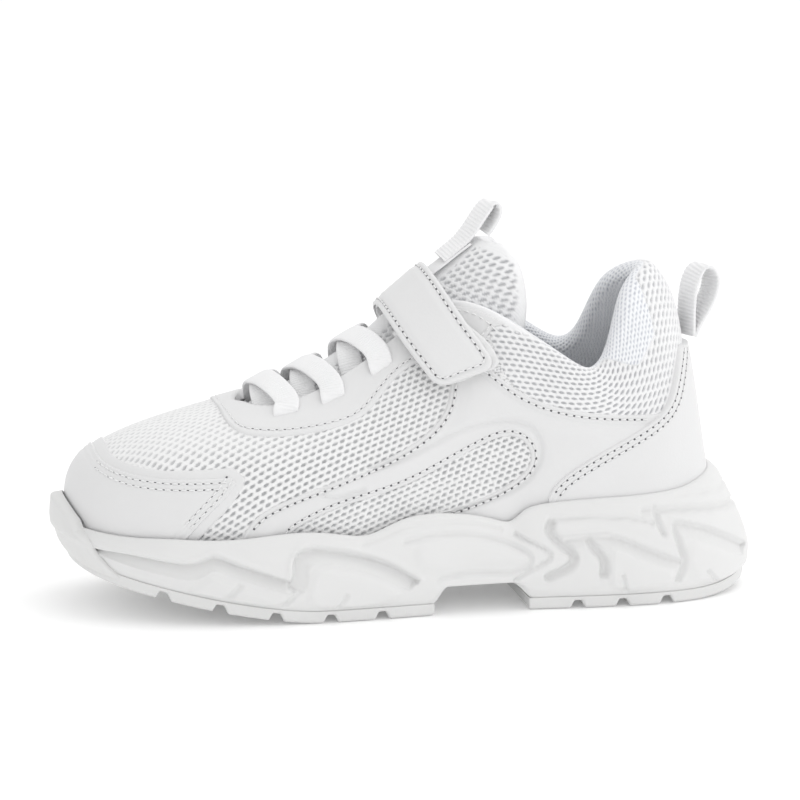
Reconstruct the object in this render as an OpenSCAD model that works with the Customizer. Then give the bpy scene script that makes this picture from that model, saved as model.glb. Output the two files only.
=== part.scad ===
// Children's running shoe (left foot) with a hook-and-loop instep strap.
// Frame: toe towards -X, heel towards +X, outer (lateral) side towards -Y,
// Z up from the ground, origin under the middle of the shoe. Millimetres.

/* [Upper] */
// Thickness of the mesh fabric
mesh_t = 1.0; // [0.9:0.1:1.1]
// Thickness of one synthetic-leather overlay
overlay_t = 0.7; // [0.65:0.05:0.75]
// Gap between two stacked layers
layer_gap = 0.15; // [0.1:0.05:0.2]
// Thickness of the lining fabric
lining_t = 0.8; // [0.7:0.1:0.9]
// Thickness of the toe puff and of the heel counter
stiffener_t = 0.8; // [0.7:0.1:0.9]
// Whole wall of the upper over the forefoot
vamp_wall = 3; // [3:0.1:3.2]
// Whole wall of the upper at the padded collar
collar_wall = 8; // [7.5:0.5:8.5]

/* [Sole] */
// Thickness of the rubber outsole with its lugs
outsole_t = 3.8; // [3.6:0.1:4]
// Depth of the grooves between the lugs
groove_depth = 2.6; // [2:0.1:2.8]
// Width of the midsole's rim around the upper
rim_w = 1.8; // [1.6:0.1:2]
// Thickness of the removable insole
insole_t = 3.6; // [3.4:0.2:3.8]
// Thickness of the strobel board
board_t = 1.2; // [1:0.1:1.4]

/* [Tongue] */
// Thickness of the tongue's foam
tongue_foam_t = 3.4; // [3:0.2:3.6]

/* [Strap and laces] */
// Width of the instep strap
strap_w = 21.5; // [21:0.5:22]
// Thickness of the strap's outer leather
strap_t = 1.2; // [1:0.1:1.3]
// Width of the elastic lace
lace_w = 8; // [7.5:0.5:8]
// Thickness of the elastic lace
lace_t = 1.2; // [1:0.1:1.3]

/* [Pull loops] */
// Width of the pull-loop webbing
loop_w = 12; // [11:1:13]
// Thickness of the pull-loop webbing
loop_t = 1.3; // [1.1:0.1:1.5]

/* [Hidden] */

columns = 66;   // columns of the upper's grid, three to each rib
rows = 8;       // rows of the upper's grid

// Ribs of the upper's outer surface, from the feather edge up to the top line.
// Each is a Bezier curve of four points. Lateral ribs run from toe to heel.
lateral_ribs = [
  [[-110, 3, 22], [-121, 3, 56], [-97, 1.5, 55], [-49, 0, 70.5]],
  [[-102, -20, 20], [-111, -25, 52], [-91, -16, 56], [-48.5, -3, 71]],
  [[-84, -32, 19], [-88, -39.5, 50], [-76, -26, 61], [-46.5, -6, 72]],
  [[-56, -38, 18], [-57, -46, 50], [-52, -29, 66], [-42, -8.5, 74.5]],
  [[-28, -37.5, 18], [-29, -45, 53], [-27, -28, 72], [-28, -10.5, 81]],
  [[2, -34, 20], [-2, -40, 56], [-6, -27, 79], [-8, -13, 92.5]],
  [[28, -31, 22], [22, -36.5, 58], [14, -25, 86], [12, -17, 103.5]],
  [[46, -30.5, 23], [42, -35.5, 56], [36, -30, 76], [32, -25, 95]],
  [[62, -31, 24], [60, -35.5, 52], [57, -31, 66], [54, -29, 80.5]],
  [[84, -28.5, 25], [82, -33, 54], [76, -29, 66], [68, -25, 81.5]],
  [[100.5, -17.5, 25], [98, -21, 56], [93, -19, 76], [78, -18.5, 96]],
  [[108.5, 0, 25], [97.5, 0, 55], [98.5, 0, 89], [89.5, 0, 110]]
];
// Medial ribs run back from heel to toe.
medial_ribs = [
  [[100.5, 17.5, 25], [98, 21, 55], [93, 19, 76], [78, 18.5, 96]],
  [[84, 27, 25], [82, 32, 55], [76, 28, 66], [68, 25, 81.5]],
  [[62, 28, 24], [60, 33.5, 54], [57, 30, 68], [54, 28.5, 81]],
  [[46, 26.5, 23], [42, 32.5, 58], [36, 29, 78], [32, 25, 97]],
  [[28, 26, 22], [22, 31.5, 60], [14, 24, 88], [12, 17, 104]],
  [[2, 28, 20], [-2, 33.5, 58], [-6, 25, 80], [-8, 13, 92.5]],
  [[-28, 34, 18], [-29, 40, 53], [-27, 26, 72], [-28, 10.5, 81]],
  [[-56, 39, 18], [-57, 45.5, 50], [-52, 28, 66], [-42, 8.5, 74.5]],
  [[-84, 35.5, 19], [-88, 42, 50], [-76, 27, 61], [-46.5, 6, 72]],
  [[-102, 23.5, 20], [-111, 29, 52], [-91, 19, 56], [-48.5, 3, 71]]
];
// Share of each rib that the upper covers: the throat is cut back from the ribs' ends
rib_share = [0.94, 0.935, 0.91, 0.82, 0.85, 0.92, 0.98, 1, 1, 1, 1, 1,
             1, 1, 1, 1, 0.98, 0.92, 0.85, 0.82, 0.91, 0.935];
ribs = concat(lateral_ribs, medial_ribs);
n_ribs = len(ribs);

// Height of the midsole's rim at each rib
rim_z = [30, 30, 29, 29, 31, 33, 31.5, 36, 36.5, 36.5, 38.5, 43.5,
         38.5, 36.5, 36.5, 36, 34, 34, 31, 29, 29, 30];
// Widest outline of the midsole at each rib
sole_outline = [
  [-117, 4], [-109, -25], [-88, -39], [-58, -46], [-28, -45.5], [2, -41.5],
  [27, -38.5], [46, -38.5], [64, -39], [89, -36.5], [112, -24], [122, 0],
  [112, 24], [89, 36], [64, 36], [46, 33.5], [27, 32], [2, 34.5],
  [-28, 41], [-58, 46.5], [-88, 43], [-109, 30]
];

// ---- smooth curves and surfaces ----

// Weights of the uniform cubic B-spline
function weights(t) =
  let (s = 1 - t)
  [s*s*s, 3*t*t*t - 6*t*t + 4, 3*s*s*s - 6*s*s + 4, t*t*t] / 6;
// Control values that carry a closed B-spline close to the given points
function closed_ctrl(p) =
  let (n = len(p))
  [for (i = [0:n-1]) p[i] - (p[(i+n-1)%n] - 2*p[i] + p[(i+1)%n]) / 6];
function closed_at(c, u) =
  let (n = len(c), i = floor(u), w = weights(u - i))
  w[0]*c[(i+n-1)%n] + w[1]*c[i%n] + w[2]*c[(i+1)%n] + w[3]*c[(i+2)%n];
// Smooth open curve through hand-set points, k steps to a span
function curve(p, k) =
  let (n = len(p),
       q = concat([2*p[0] - p[1]], p, [2*p[n-1] - p[n-2]]),
       e = concat([2*q[0] - q[1]], q, [2*q[n+1] - q[n]]),
       c = [for (i = [1:n+2]) e[i] - (e[i-1] - 2*e[i] + e[i+1]) / 6])
  concat([for (i = [0:n-2], j = [0:k-1])
            let (w = weights(j/k)) w[0]*c[i] + w[1]*c[i+1] + w[2]*c[i+2] + w[3]*c[i+3]],
         [p[n-1]]);
function closed_curve(p, k) =
  let (c = closed_ctrl(p))
  [for (i = [0:len(p)*k-1]) closed_at(c, i/k)];
function bezier(r, v) =
  let (s = 1 - v)
  s*s*s*r[0] + 3*s*s*v*r[1] + 3*s*v*v*r[2] + v*v*v*r[3];
function unit(v) = v / norm(v);
function mix(a, b, t) = a*(1 - t) + b*t;
function ramp(x, a, b) = let (t = min(1, max(0, (x - a)/(b - a)))) t*t*(3 - 2*t);

// Normals of a grid of points; closed grids wrap round in i
function normals(g, closed) =
  let (n = len(g), m = len(g[0]))
  [for (i = [0:n-1]) [for (j = [0:m-1])
     let (a = closed ? g[(i+n-1)%n][j] : g[max(i-1, 0)][j],
          b = closed ? g[(i+1)%n][j] : g[min(i+1, n-1)][j],
          c = g[i][max(j-1, 0)], d = g[i][min(j+1, m-1)])
     unit(cross(b - a, d - c))]];
function moved(g, nrm, d) =
  [for (i = [0:len(g)-1]) [for (j = [0:len(g[0])-1]) g[i][j] + nrm[i][j]*d[i][j]]];
function same(g, d) = [for (i = g) [for (j = i) d]];
function flat(g) = [for (i = g) for (p = i) p];

// Two triangles on a cell, whose corners run anticlockwise seen from outside
function cell(a, b, c, d) = [[a, d, c], [a, c, b]];

// Solid between two grids of the same size; top lies on the normals' side
module layer(low, high, closed) {
  n = len(low);
  m = len(low[0]);
  k = n*m;
  last = closed ? n-1 : n-2;
  function at(i, j) = (i % n)*m + j;
  faces = concat(
    [for (i = [0:last], j = [0:m-2])
       each cell(at(i, j) + k, at(i+1, j) + k, at(i+1, j+1) + k, at(i, j+1) + k)],
    [for (i = [0:last], j = [0:m-2])
       each cell(at(i, j), at(i, j+1), at(i+1, j+1), at(i+1, j))],
    [for (i = [0:last]) each cell(at(i, 0), at(i+1, 0), at(i+1, 0) + k, at(i, 0) + k)],
    [for (i = [0:last])
       each cell(at(i, m-1) + k, at(i+1, m-1) + k, at(i+1, m-1), at(i, m-1))],
    closed ? [] : concat(
      [for (j = [0:m-2]) each cell(at(0, j) + k, at(0, j+1) + k, at(0, j+1), at(0, j))],
      [for (j = [0:m-2])
         each cell(at(n-1, j), at(n-1, j+1), at(n-1, j+1) + k, at(n-1, j) + k)]));
  polyhedron(points = concat(flat(low), flat(high)), faces = faces, convexity = 8);
}

// Solid of stacked rings, each of 2n points from the toe round to the toe again,
// closed at both ends by rungs from the outer side to the inner side
module stacked(rings) {
  m = len(rings);
  k = len(rings[0]);
  h = k/2;
  wall = [for (r = [0:m-2], i = [0:k-1])
            each cell(r*k + i, r*k + (i+1)%k, (r+1)*k + (i+1)%k, (r+1)*k + i)];
  function lid(o) = concat(
    [[o, o+k-1, o+1]],
    [for (i = [1:h-2]) each [[o+i, o+k-i, o+k-i-1], [o+i, o+k-i-1, o+i+1]]],
    [[o+h-1, o+h+1, o+h]]);
  function turned(f) = [for (t = f) [t[2], t[1], t[0]]];
  polyhedron(points = flat(rings), faces = concat(wall, turned(lid(0)), lid((m-1)*k)),
             convexity = 8);
}

// ---- the upper's surface ----

rib_ctrl = closed_ctrl(ribs);
u_of = [for (i = [0:columns-1]) i*n_ribs/columns];
share_ctrl = closed_ctrl(rib_share);
rib_of = [for (u = u_of) closed_at(rib_ctrl, u)];
share_of = [for (u = u_of) closed_at(share_ctrl, u)];
skin = [for (i = [0:columns-1]) [for (j = [0:rows]) bezier(rib_of[i], share_of[i]*j/rows)]];
skin_n = normals(skin, true);

// Share of full collar padding at a column and a row
function padding(i, j) =
  let (u = u_of[i], side = min(u, n_ribs - u))
  ramp(side, 5.5, 7.6) * ramp(j/rows, 0.45, 0.85);
wall_t = [for (i = [0:columns-1]) [for (j = [0:rows])
            mix(vamp_wall, collar_wall, padding(i, j))]];

// Point of the surface at rib position u and share v of its height, h outside it
function spot(u, v) = bezier(closed_at(rib_ctrl, u), v*closed_at(share_ctrl, u));
function spot_n(u, v) =
  unit(cross(spot(u + 0.1, v) - spot(u - 0.1, v), spot(u, v + 0.01) - spot(u, v - 0.01)));
function on_skin(u, v, h) = spot(u, v) + h*spot_n(u, v);
// The same rib position on the inner side of the foot
function other_side(u, side) = side < 0 ? u : n_ribs - u;

function skin_at(d) = moved(skin, skin_n, same(skin, d));
// Inner surface of the lining, pushed out by d
function inner_at(d) = moved(skin, skin_n, d*same(skin, 1) - wall_t);

module upper_layer(d0, d1) {
  layer(skin_at(d0), skin_at(d1), true);
}
first = layer_gap;                  // underside of a first overlay
second = first + overlay_t + layer_gap;  // underside of a second overlay
outermost = second + overlay_t;

// ---- outlines seen from the side, as [x, z] ----

// Cuts a straight prism along Y: side -1 lateral, 1 medial, 0 both
module side_cut(points, side = 0) {
  reach = 90;
  translate([0, side < 0 ? -0.5 : reach, 0])
    rotate([90, 0, 0])
      linear_extrude(side == 0 ? 2*reach : reach - 0.5) polygon(points);
}

toe_cap_edge = concat([[-140, 10], [-140, 80], [-105, 80]],
  curve([[-105, 55], [-104.5, 52], [-99.5, 50], [-93, 48.8], [-82, 48.2], [-70, 48.6], [-64, 49]], 2),
  curve([[-62, 47], [-66, 42], [-72.5, 35.5], [-79, 28], [-88, 15]], 2));
underlay_edge = concat([[-140, 10], [-140, 80], [-101.5, 80]],
  curve([[-101.5, 57], [-101, 53.5], [-96, 52], [-88, 50.8], [-76, 51], [-63, 52]], 2),
  curve([[-59, 48.5], [-62.5, 42], [-69, 35], [-76, 27], [-85, 15]], 2));
underlay_inner = concat([[-150, 5], [-150, 52], [-111, 52]],
  curve([[-110, 45], [-98, 41.5], [-82, 40.5], [-76, 40]], 2),
  curve([[-84, 30], [-95, 15], [-102, 5]], 2));
eyestay_edge = concat([[-64.5, 118]],
  curve([[-64.5, 68], [-64, 65.5], [-61, 62.5], [-55, 61], [-44, 61], [-31, 62.8], [-20, 66],
         [-13, 72], [-6, 79], [2, 84], [12, 87], [21, 89], [24.5, 91.5], [29, 96]], 2),
  [[31, 118]]);
panel_edge = concat(
  curve([[-70, 12], [-62, 27], [-57, 35], [-49, 40], [-35, 45], [-17.5, 51], [-3.5, 57],
         [5.5, 63.5], [10, 70], [11.5, 77], [13, 83.5]], 2),
  curve([[19, 85.5], [24, 82], [29, 78], [35, 73.5], [45, 69], [58.5, 66], [76, 64.5],
         [90, 64]], 2),
  [[90, 50]], curve([[68, 46], [60, 38], [56, 12]], 2));
window_edge = closed_curve([[-46, 29], [-36, 35], [-25, 39], [-7, 43.5], [7, 49.5], [21, 56],
  [29, 58.8], [35, 57.5], [38, 52.5], [36, 47], [28, 41.5], [16, 37], [2, 33.5], [-10, 31],
  [-22, 27], [-36, 25]], 2);
heel_edge = concat(
  curve([[36, 12], [42.5, 35], [46, 42], [53, 48], [65, 54.5], [77.5, 60.5], [85, 65.5],
         [88.5, 72], [91, 80], [92.5, 85]], 2),
  [[130, 86], [130, 12]]);
collar_edge = concat([[24, 130], [23, 97]],
  curve([[22, 90], [25, 80], [33, 70], [45, 64], [60, 61], [76, 60], [92, 60], [112, 60]], 2),
  [[120, 130]]);
foam_edge = concat([[24, 130], [25, 99]],
  curve([[28, 90], [33, 81], [41, 74], [55, 69], [76, 67], [112, 68]], 2),
  [[120, 130]]);

// ---- upper ----

module vamp_mesh() {
  color("white") difference() {
    upper_layer(-mesh_t, 0);
    side_cut(collar_edge);
    lace_slots();
  }
}
module collar_mesh() {
  color("whitesmoke") intersection() {
    upper_layer(-mesh_t, 0);
    translate([0.15, 0, 0.15]) side_cut(collar_edge);
  }
}
module lining() {
  color("gainsboro") difference() {
    layer(inner_at(0), inner_at(lining_t), true);
    lace_slots();
  }
}
// Fills the wall between mesh and lining along the collar
module collar_foam() {
  color("lightyellow") intersection() {
    layer(inner_at(lining_t + layer_gap), skin_at(-mesh_t - stiffener_t - 2*layer_gap), true);
    side_cut(foam_edge);
  }
}
// Folded strip of lining fabric that closes the collar's top line
module collar_binding() {
  lift = 0.25;
  seam = 0.93;
  used = [for (i = [0:columns-1]) if (u_of[i] > 5.75 && u_of[i] < n_ribs - 5.75) i];
  g = [for (i = used)
    let (out = moved(skin, skin_n, same(skin, first + overlay_t + layer_gap)),
         inn = inner_at(-2*layer_gap),
         up = unit(skin[i][rows] - skin[i][rows-1]),
         a = out[i][rows], b = inn[i][rows], crown = 0.16*norm(a - b),
         a0 = mix(out[i][rows-1], a, 0.3), b0 = mix(inn[i][rows-1], b, 0.4))
    [a0, a + lift*up, mix(a, b, 0.3) + crown*up, mix(a, b, 0.7) + crown*up, b + lift*up, b0]];
  n = normals(g, false);
  color("silver") layer(g, moved(g, n, same(g, 0.8)), false);
}
module heel_counter() {
  outer = -mesh_t - layer_gap;
  color("lightgrey") intersection() {
    upper_layer(outer - stiffener_t, outer);
    side_cut(concat(curve([[58, 12], [64, 34], [76, 50], [90, 62], [98, 66]], 2),
                    [[125, 66], [125, 12]]));
  }
}
module toe_puff() {
  outer = -mesh_t - layer_gap;
  color("lightgrey") intersection() {
    upper_layer(outer - stiffener_t, outer);
    side_cut([[-140, 10], [-140, 80], [-100, 80], [-98, 50], [-86, 40], [-92, 10]]);
  }
}
module toe_cap_underlay() {
  color("white") intersection() {
    upper_layer(first, first + overlay_t);
    difference() {
      side_cut(underlay_edge);
      side_cut(underlay_inner);
    }
  }
}
module toe_cap() {
  color("whitesmoke") intersection() {
    upper_layer(second, outermost);
    side_cut(toe_cap_edge);
  }
}
module eyestay() {
  color("whitesmoke") difference() {
    intersection() {
      upper_layer(first, first + overlay_t);
      side_cut(eyestay_edge);
    }
    lace_slots();
  }
}
module side_panel(side) {
  color("whitesmoke") intersection() {
    upper_layer(first, first + overlay_t);
    difference() {
      side_cut(panel_edge, side);
      side_cut(window_edge, side);
    }
  }
}
module side_panel_lateral() { side_panel(-1); }
module side_panel_medial() { side_panel(1); }
module heel_panel() {
  color("whitesmoke") intersection() {
    upper_layer(second, outermost);
    side_cut(heel_edge);
  }
}
// Soft pile patch that the strap presses onto
module loop_tape() {
  color("white") intersection() {
    upper_layer(second, outermost);
    side_cut(closed_curve([[9, 76], [18, 78], [23.5, 82], [21.5, 86], [13, 84.5], [7.5, 80.5]], 2),
             -1);
  }
}

// ---- sole ----

// Ground clearance of the outsole's face: toe spring in front, a small bevel behind
function ground(x) =
  11.3*pow(max(0, -35 - x)/63, 1.46) + 2.2*pow(max(0, x - 94)/20, 2);
// The arch, where the sole stands clear of the ground
function arch(x) = 5.6*ramp(x, 3, 9)*(1 - ramp(x, 31, 39));
// Height of the footbed
bed_z = [20, 18.3, 17, 16, 16, 18, 20, 21, 22, 22.9, 23, 23,
         23, 22.9, 22, 21, 20, 18, 16, 16, 17, 18.3];

rim_ctrl = closed_ctrl(rim_z);
bed_ctrl = closed_ctrl(bed_z);
outline_ctrl = closed_ctrl(sole_outline);
outline = [for (u = u_of) closed_at(outline_ctrl, u)];
rim_h = [for (u = u_of) closed_at(rim_ctrl, u)];
bed_h = [for (u = u_of) closed_at(bed_ctrl, u)];

// Where a rib reaches height z
function rib_v(r, z, a = 0, b = 0.7, k = 12) =
  k == 0 ? (a + b)/2 :
  let (c = (a + b)/2) bezier(r, c)[2] < z ? rib_v(r, z, c, b, k-1) : rib_v(r, z, a, c, k-1);
// Outward level normal of a ring
function level(ring, i) =
  let (k = len(ring), t = ring[(i+1)%k] - ring[(i+k-1)%k]) unit([t[1], -t[0], 0]);
function ring_out(ring, d) = [for (i = [0:len(ring)-1]) ring[i] + d*level(ring, i)];
// Ring on the upper's surface, at share s of the way up to the rim and h above that
function skin_ring(s, h = 0) =
  [for (i = [0:columns-1]) bezier(rib_of[i], s*rib_v(rib_of[i], rim_h[i] + h))];
plan = [for (p = outline) [p[0], p[1], 0]];
function plan_ring(d, z) = [for (i = [0:columns-1])
  let (q = plan[i] + d*level(plan, i)) [q[0], q[1], z + ground(q[0])]];

cup_gap = 0.35;
heel_rim = [for (i = [0:columns-1]) 2.5*ramp(rib_of[i][0][0], 88, 108)];  // thicker rim behind
cup = [for (s = [1, 0.75, 0.5, 0.25, 0]) ring_out(skin_ring(s), outermost + cup_gap)];
rim_ring = [for (i = [0:columns-1])
  cup[0][i] + (rim_w + heel_rim[i])*level(cup[0], i) - [0, 0, 0.4 + heel_rim[i]]];
edge_ring = [for (p = plan_ring(-4, outsole_t + 0.2)) p + [0, 0, arch(p[0])]];
low_ring = [for (p = plan_ring(-0.9, 6.5)) p + [0, 0, 0.8*arch(p[0])]];
mid_ring = plan_ring(0, 10.5);
high_ring = [for (i = [0:columns-1]) mix(mid_ring[i], rim_ring[i], 0.5) + 1.2*level(mid_ring, i)];
bed_edge = [for (i = [0:columns-1]) let (p = cup[4][i]) [p[0], p[1], bed_h[i]]];

module midsole() {
  color("white") stacked(concat([edge_ring, low_ring, mid_ring, high_ring, rim_ring],
                                cup, [bed_edge]));
}
module strobel_board() {
  base = ring_out(bed_edge, -outermost - cup_gap - vamp_wall - 0.8);
  color("beige") stacked([[for (p = base) p + [0, 0, 0.3]],
                          [for (p = base) p + [0, 0, 0.3 + board_t]]]);
}
module insole() {
  base = ring_out(bed_edge, -outermost - cup_gap - vamp_wall - 1.2);
  low = 0.6 + board_t;
  color("lightblue") stacked([
    [for (p = base) p + [0, 0, low]],
    [for (p = base) p + [0, 0, low + insole_t]],
    [for (p = ring_out(base, -2)) p + [0, 0, low + insole_t + 0.6]]]);
}

// Pad of rubber under part of the sole, with grooves cut across it
module tread(x0, x1, grooves) {
  difference() {
    stacked([plan_ring(-4.2, 0), plan_ring(-3, 0.8), plan_ring(-3, outsole_t)]);
    translate([-200, -100, -10]) cube([200 + x0, 200, 100]);
    translate([x1, -100, -10]) cube([200, 200, 100]);
    for (g = grooves) groove(g[0], g[1]);
  }
}
// Groove from x0 on the outer edge to x1 on the inner edge
module groove(x0, x1) {
  x = (x0 + x1)/2;
  slope = atan(ground(x - 0.5) - ground(x + 0.5));
  translate([x, 0, ground(x) + groove_depth]) rotate([0, slope, atan((x0 - x1)/84)])
    rotate([90, 0, 0]) linear_extrude(160, center = true)
      polygon([[-1, 0], [1, 0], [3.6, -6], [-3.6, -6]]);
}
front_grooves = [[-87, -84], [-68.5, -66], [-50, -49], [-31.7, -33], [-14, -18]];
heel_grooves = [[54, 52], [69.5, 68], [85, 86]];

// The rubber runs up round the toe as a bumper, highest at the front
module outsole_forefoot() {
  above = ring_out([for (i = [0:columns-1])
    let (side = min(u_of[i], n_ribs - u_of[i]))
    bezier(rib_of[i], rib_v(rib_of[i], rim_h[i] + 0.6 + 8*max(0, 1 - pow(side/0.8, 2))))],
    outermost + cup_gap);
  wrap = [plan_ring(-5, 1.2), edge_ring, low_ring, mid_ring, high_ring, rim_ring, above];
  thick = [1.6, 2.3, 2.3, 2.3, 2, 1, 3.8];
  k = 9;
  near = [for (c = [columns-k : columns+k]) c % columns];
  function part(d) = [for (c = near) [for (j = [0:6]) wrap[j][c] + (0.35 + d*thick[j])*level(wrap[j], c)]];
  color("white") union() {
    tread(-130, 4, front_grooves);
    intersection() {
      layer(part(0), part(1), false);
      side_cut(concat([[-140, 0], [-140, 60], [-112.6, 60]],
        curve([[-112.6, 34], [-110, 27.5], [-106, 21.5], [-100, 15.5], [-92, 11], [-86, 7]], 2),
        [[-86, 0]]));
    }
  }
}
module outsole_heel() {
  color("white") tread(37, 130, heel_grooves);
}

// ---- tongue ----

tongue_gap = vamp_wall + lace_t + 2.4;    // room for the lace under the eyestay's edge
// Wing, edge and crown of a cross-section under the throat
function throat_row(u, v, crown_x, crown_z) =
  [for (side = [-1, 1]) [on_skin(other_side(u, side), v, -tongue_gap),
                         on_skin(other_side(u, side), 1, -tongue_gap),
                         [crown_x, 0, crown_z]]];
// Cross-section of the tongue's free part: wing and crown
function free_row(wing, crown) =
  [for (side = [-1, 1]) [[wing[0], side*wing[1], wing[2]],
                         [mix(crown[0], wing[0], 0.32), side*0.76*wing[1],
                          mix(crown[1], wing[2], 0.3)],
                         [crown[0], 0, crown[1]]]];
tongue_rows = [
  free_row([-58, 17, 55.5], [-58, 62.5]),
  throat_row(2.75, 0.9, -46.5, 71),
  throat_row(3.7, 0.88, -31, 79.5),
  throat_row(4.75, 0.9, -12, 92.5),
  free_row([23, 16.5, 80], [2, 104.5]),
  free_row([39, 16.3, 90], [12, 112]),
  free_row([38.5, 15.5, 112], [20.5, 118.3]),
  free_row([33.5, 11.5, 121.5], [27, 122.5])
];
function across_row(r, k) = curve([r[0][0], r[0][1], r[0][2], r[1][1], r[1][0]], k);
tongue_grid = curve([for (r = tongue_rows) across_row(r, 2)], 2);
tongue_n = normals(tongue_grid, false);
tongue_skin_t = 0.9;
function tongue_at(d) = moved(tongue_grid, tongue_n, same(tongue_grid, d));
module tongue_layer(d0, d1) {
  layer(tongue_at(d0), tongue_at(d1), false);
}
module tongue_mesh() {
  color("white") tongue_layer(-tongue_skin_t, 0);
}
module tongue_foam() {
  color("lightyellow")
    tongue_layer(-tongue_skin_t - layer_gap - tongue_foam_t, -tongue_skin_t - layer_gap);
}
module tongue_lining() {
  top = -tongue_skin_t - 2*layer_gap - tongue_foam_t;
  color("gainsboro") tongue_layer(top - lining_t, top);
}

// ---- ribbons: laces, strap and webbing ----

// Flat band of width w and thickness t about a path; across holds its width directions
module ribbon(path, across, w, t) {
  g = [for (i = [0:len(path)-1]) let (a = unit(across[i]))
         [path[i] - a*w/2, path[i] + a*w/2]];
  n = normals(g, false);
  layer(moved(g, n, same(g, -t/2)), moved(g, n, same(g, t/2)), false);
}

// Lace slots along the eyestay: rib position and share of the rib's height
slot_u = [3.25, 4.0, 4.8];
slot_v = [0.89, 0.86, 0.87];
module lace_slots() {
  half = 0.5*lace_w + 0.9;
  for (k = [0:2], side = [-1, 1]) {
    u = other_side(slot_u[k], side);
    along = unit(spot(u + 0.1, slot_v[k]) - spot(u - 0.1, slot_v[k]));
    up = unit(spot(u, slot_v[k] + 0.02) - spot(u, slot_v[k] - 0.02));
    c = spot(u, slot_v[k]);
    n = spot_n(u, slot_v[k]);
    ring = [for (q = [[-half, -1.2], [half, -1.2], [half, 2.4], [-half, 2.4]])
              c + q[0]*along + q[1]*up];
    layer([for (i = [0, 1]) [for (j = [0, 3]) ring[i + (j == 0 ? 0 : 3 - 2*i)] - 6*n]],
          [for (i = [0, 1]) [for (j = [0, 3]) ring[i + (j == 0 ? 0 : 3 - 2*i)] + 4*n]], false);
  }
}
over_h = first + overlay_t + 0.8 + lace_t/2;      // lace on top of the eyestay
under_h = -vamp_wall - 0.85 - lace_t/2;            // lace under the lining
// One run: out from under one side's edge, over the tongue, down the other side's slot.
// rise lifts it where two runs cross
function lace_run(k, side, rise) =
  let (u0 = other_side(slot_u[k] - 0.45, -side), u1 = other_side(slot_u[k], side),
       a = on_skin(u0, 1, under_h), b = on_skin(u1, 1, over_h),
       c = mix(spot(u0, 1), spot(u1, 1), 0.5) + rise*[-0.5, 0, 0.87])
  concat(
    [on_skin(u0, 0.93, under_h)],
    curve([a, mix(mix(a, c, 0.5), c + (c - b)*0.5, 0.35), c, mix(mix(b, c, 0.5), c + (c - a)*0.5, 0.3), b], 2),
    [on_skin(u1, slot_v[k] + 0.035, over_h), on_skin(u1, slot_v[k] + 0.008, 0.6),
     on_skin(u1, slot_v[k], -1.5)]);
// Width directions of a run: along the edge at both ends, along the instep between
function run_across(k, side) =
  let (u0 = other_side(slot_u[k] - 0.45, -side), u1 = other_side(slot_u[k], side),
       a = -side*unit(spot(u0 - side*0.1, 1) - spot(u0 + side*0.1, 1)),
       b = -side*unit(spot(u1 + 0.1, slot_v[k]) - spot(u1 - 0.1, slot_v[k])),
       m = [0.86, 0, 0.5], a1 = a*sign(a*m), b1 = b*sign(b*m))
  [a1, a1, mix(a1, m, 0.5), m, m, m, m, mix(m, b1, 0.4), b1, b1, b1, b1, b1];
module elastic_lace() {
  color("white") for (k = [0:2], side = [-1, 1]) {
    run = lace_run(k, side, side < 0 ? 7.6 : 5.8);
    ribbon(run, run_across(k, side), lace_w, lace_t);
  }
}

// Pull loops: bands of webbing that turn back on themselves; turn is their twist
module pull_loop(path, turn) {
  a = [-sin(turn), cos(turn), 0];
  g = [for (p = path) [p - a*loop_w/2, p + a*loop_w/2]];
  n = normals(g, false);
  layer(g, moved(g, n, same(g, loop_t)), false);
}
module tongue_pull_loop() {
  path = curve([[13.2, 0, 114.9], [16.8, 0, 117.9], [21.5, 0, 121.7], [25.6, 0, 127.8],
                [29, 0, 133], [31, 0, 133.2], [31.2, 0, 130], [28.6, 0, 125.9], [27.2, 0, 124.1]], 2);
  color("white") pull_loop(path, 14);
}
module heel_pull_loop() {
  path = curve([[99, 0, 86.8], [98.9, 0, 95], [99.4, 0, 102], [100.9, 0, 107.6],
                [103.4, 0, 110.9], [106.4, 0, 110.7], [108.4, 0, 107.4], [108.3, 0, 103],
                [106, 0, 96.7], [102.8, 0, 91.5], [100.6, 0, 86.9]], 2);
  color("white") pull_loop(path, 8);
}

// Instep strap: its two edges, from the free end on the outer side to the sewn inner edge
strap_low_edge = [[5.8, -33.3, 76.5], [2, -30.6, 82.2], [-3, -25, 90], [-7, -17, 97.3],
                  [-9, 0, 101], [-7, 17, 97.3], [-3, 25, 90], [1, 29.5, 83.5]];
strap_high_edge = [[26.5, -33.3, 83], [21.5, -30.3, 90.5], [15, -26.4, 98.6], [9.5, -18.5, 107.5],
                   [6, 0, 114.6], [9.5, 18.5, 107.5], [15, 25.6, 98.6], [20, 28.3, 91.5]];
strap_grid = [for (i = [0:14]) let (a = curve(strap_low_edge, 2)[i], b = curve(strap_high_edge, 2)[i],
                                    c = (a + b)/2, d = unit(b - a)*strap_w/2)
              [c + d, c + d/3, c - d/3, c - d]];
strap_n = normals(strap_grid, false);
module strap_layer(g, n, low, high) {
  layer(moved(g, n, same(g, low)), moved(g, n, same(g, high)), false);
}
function narrowed(g, k) = [for (r = g) [for (p = r) mix(mix(r[0], r[3], 0.5), p, k)]];
module strap_cover() {
  color("whitesmoke") strap_layer(strap_grid, strap_n, -strap_t, 0);
}
module strap_backing() {
  color("white")
    strap_layer(narrowed(strap_grid, 0.96), strap_n, -strap_t - 1, -strap_t - layer_gap);
}
// Stiff hooks under the free end of the strap
module hook_tape() {
  n = 5;
  g = [for (i = [1:n]) narrowed(strap_grid, 0.8)[i]];
  gn = [for (i = [1:n]) strap_n[i]];
  color("white") strap_layer(g, gn, -strap_t - 1.9, -strap_t - 1 - layer_gap);
}
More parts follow.
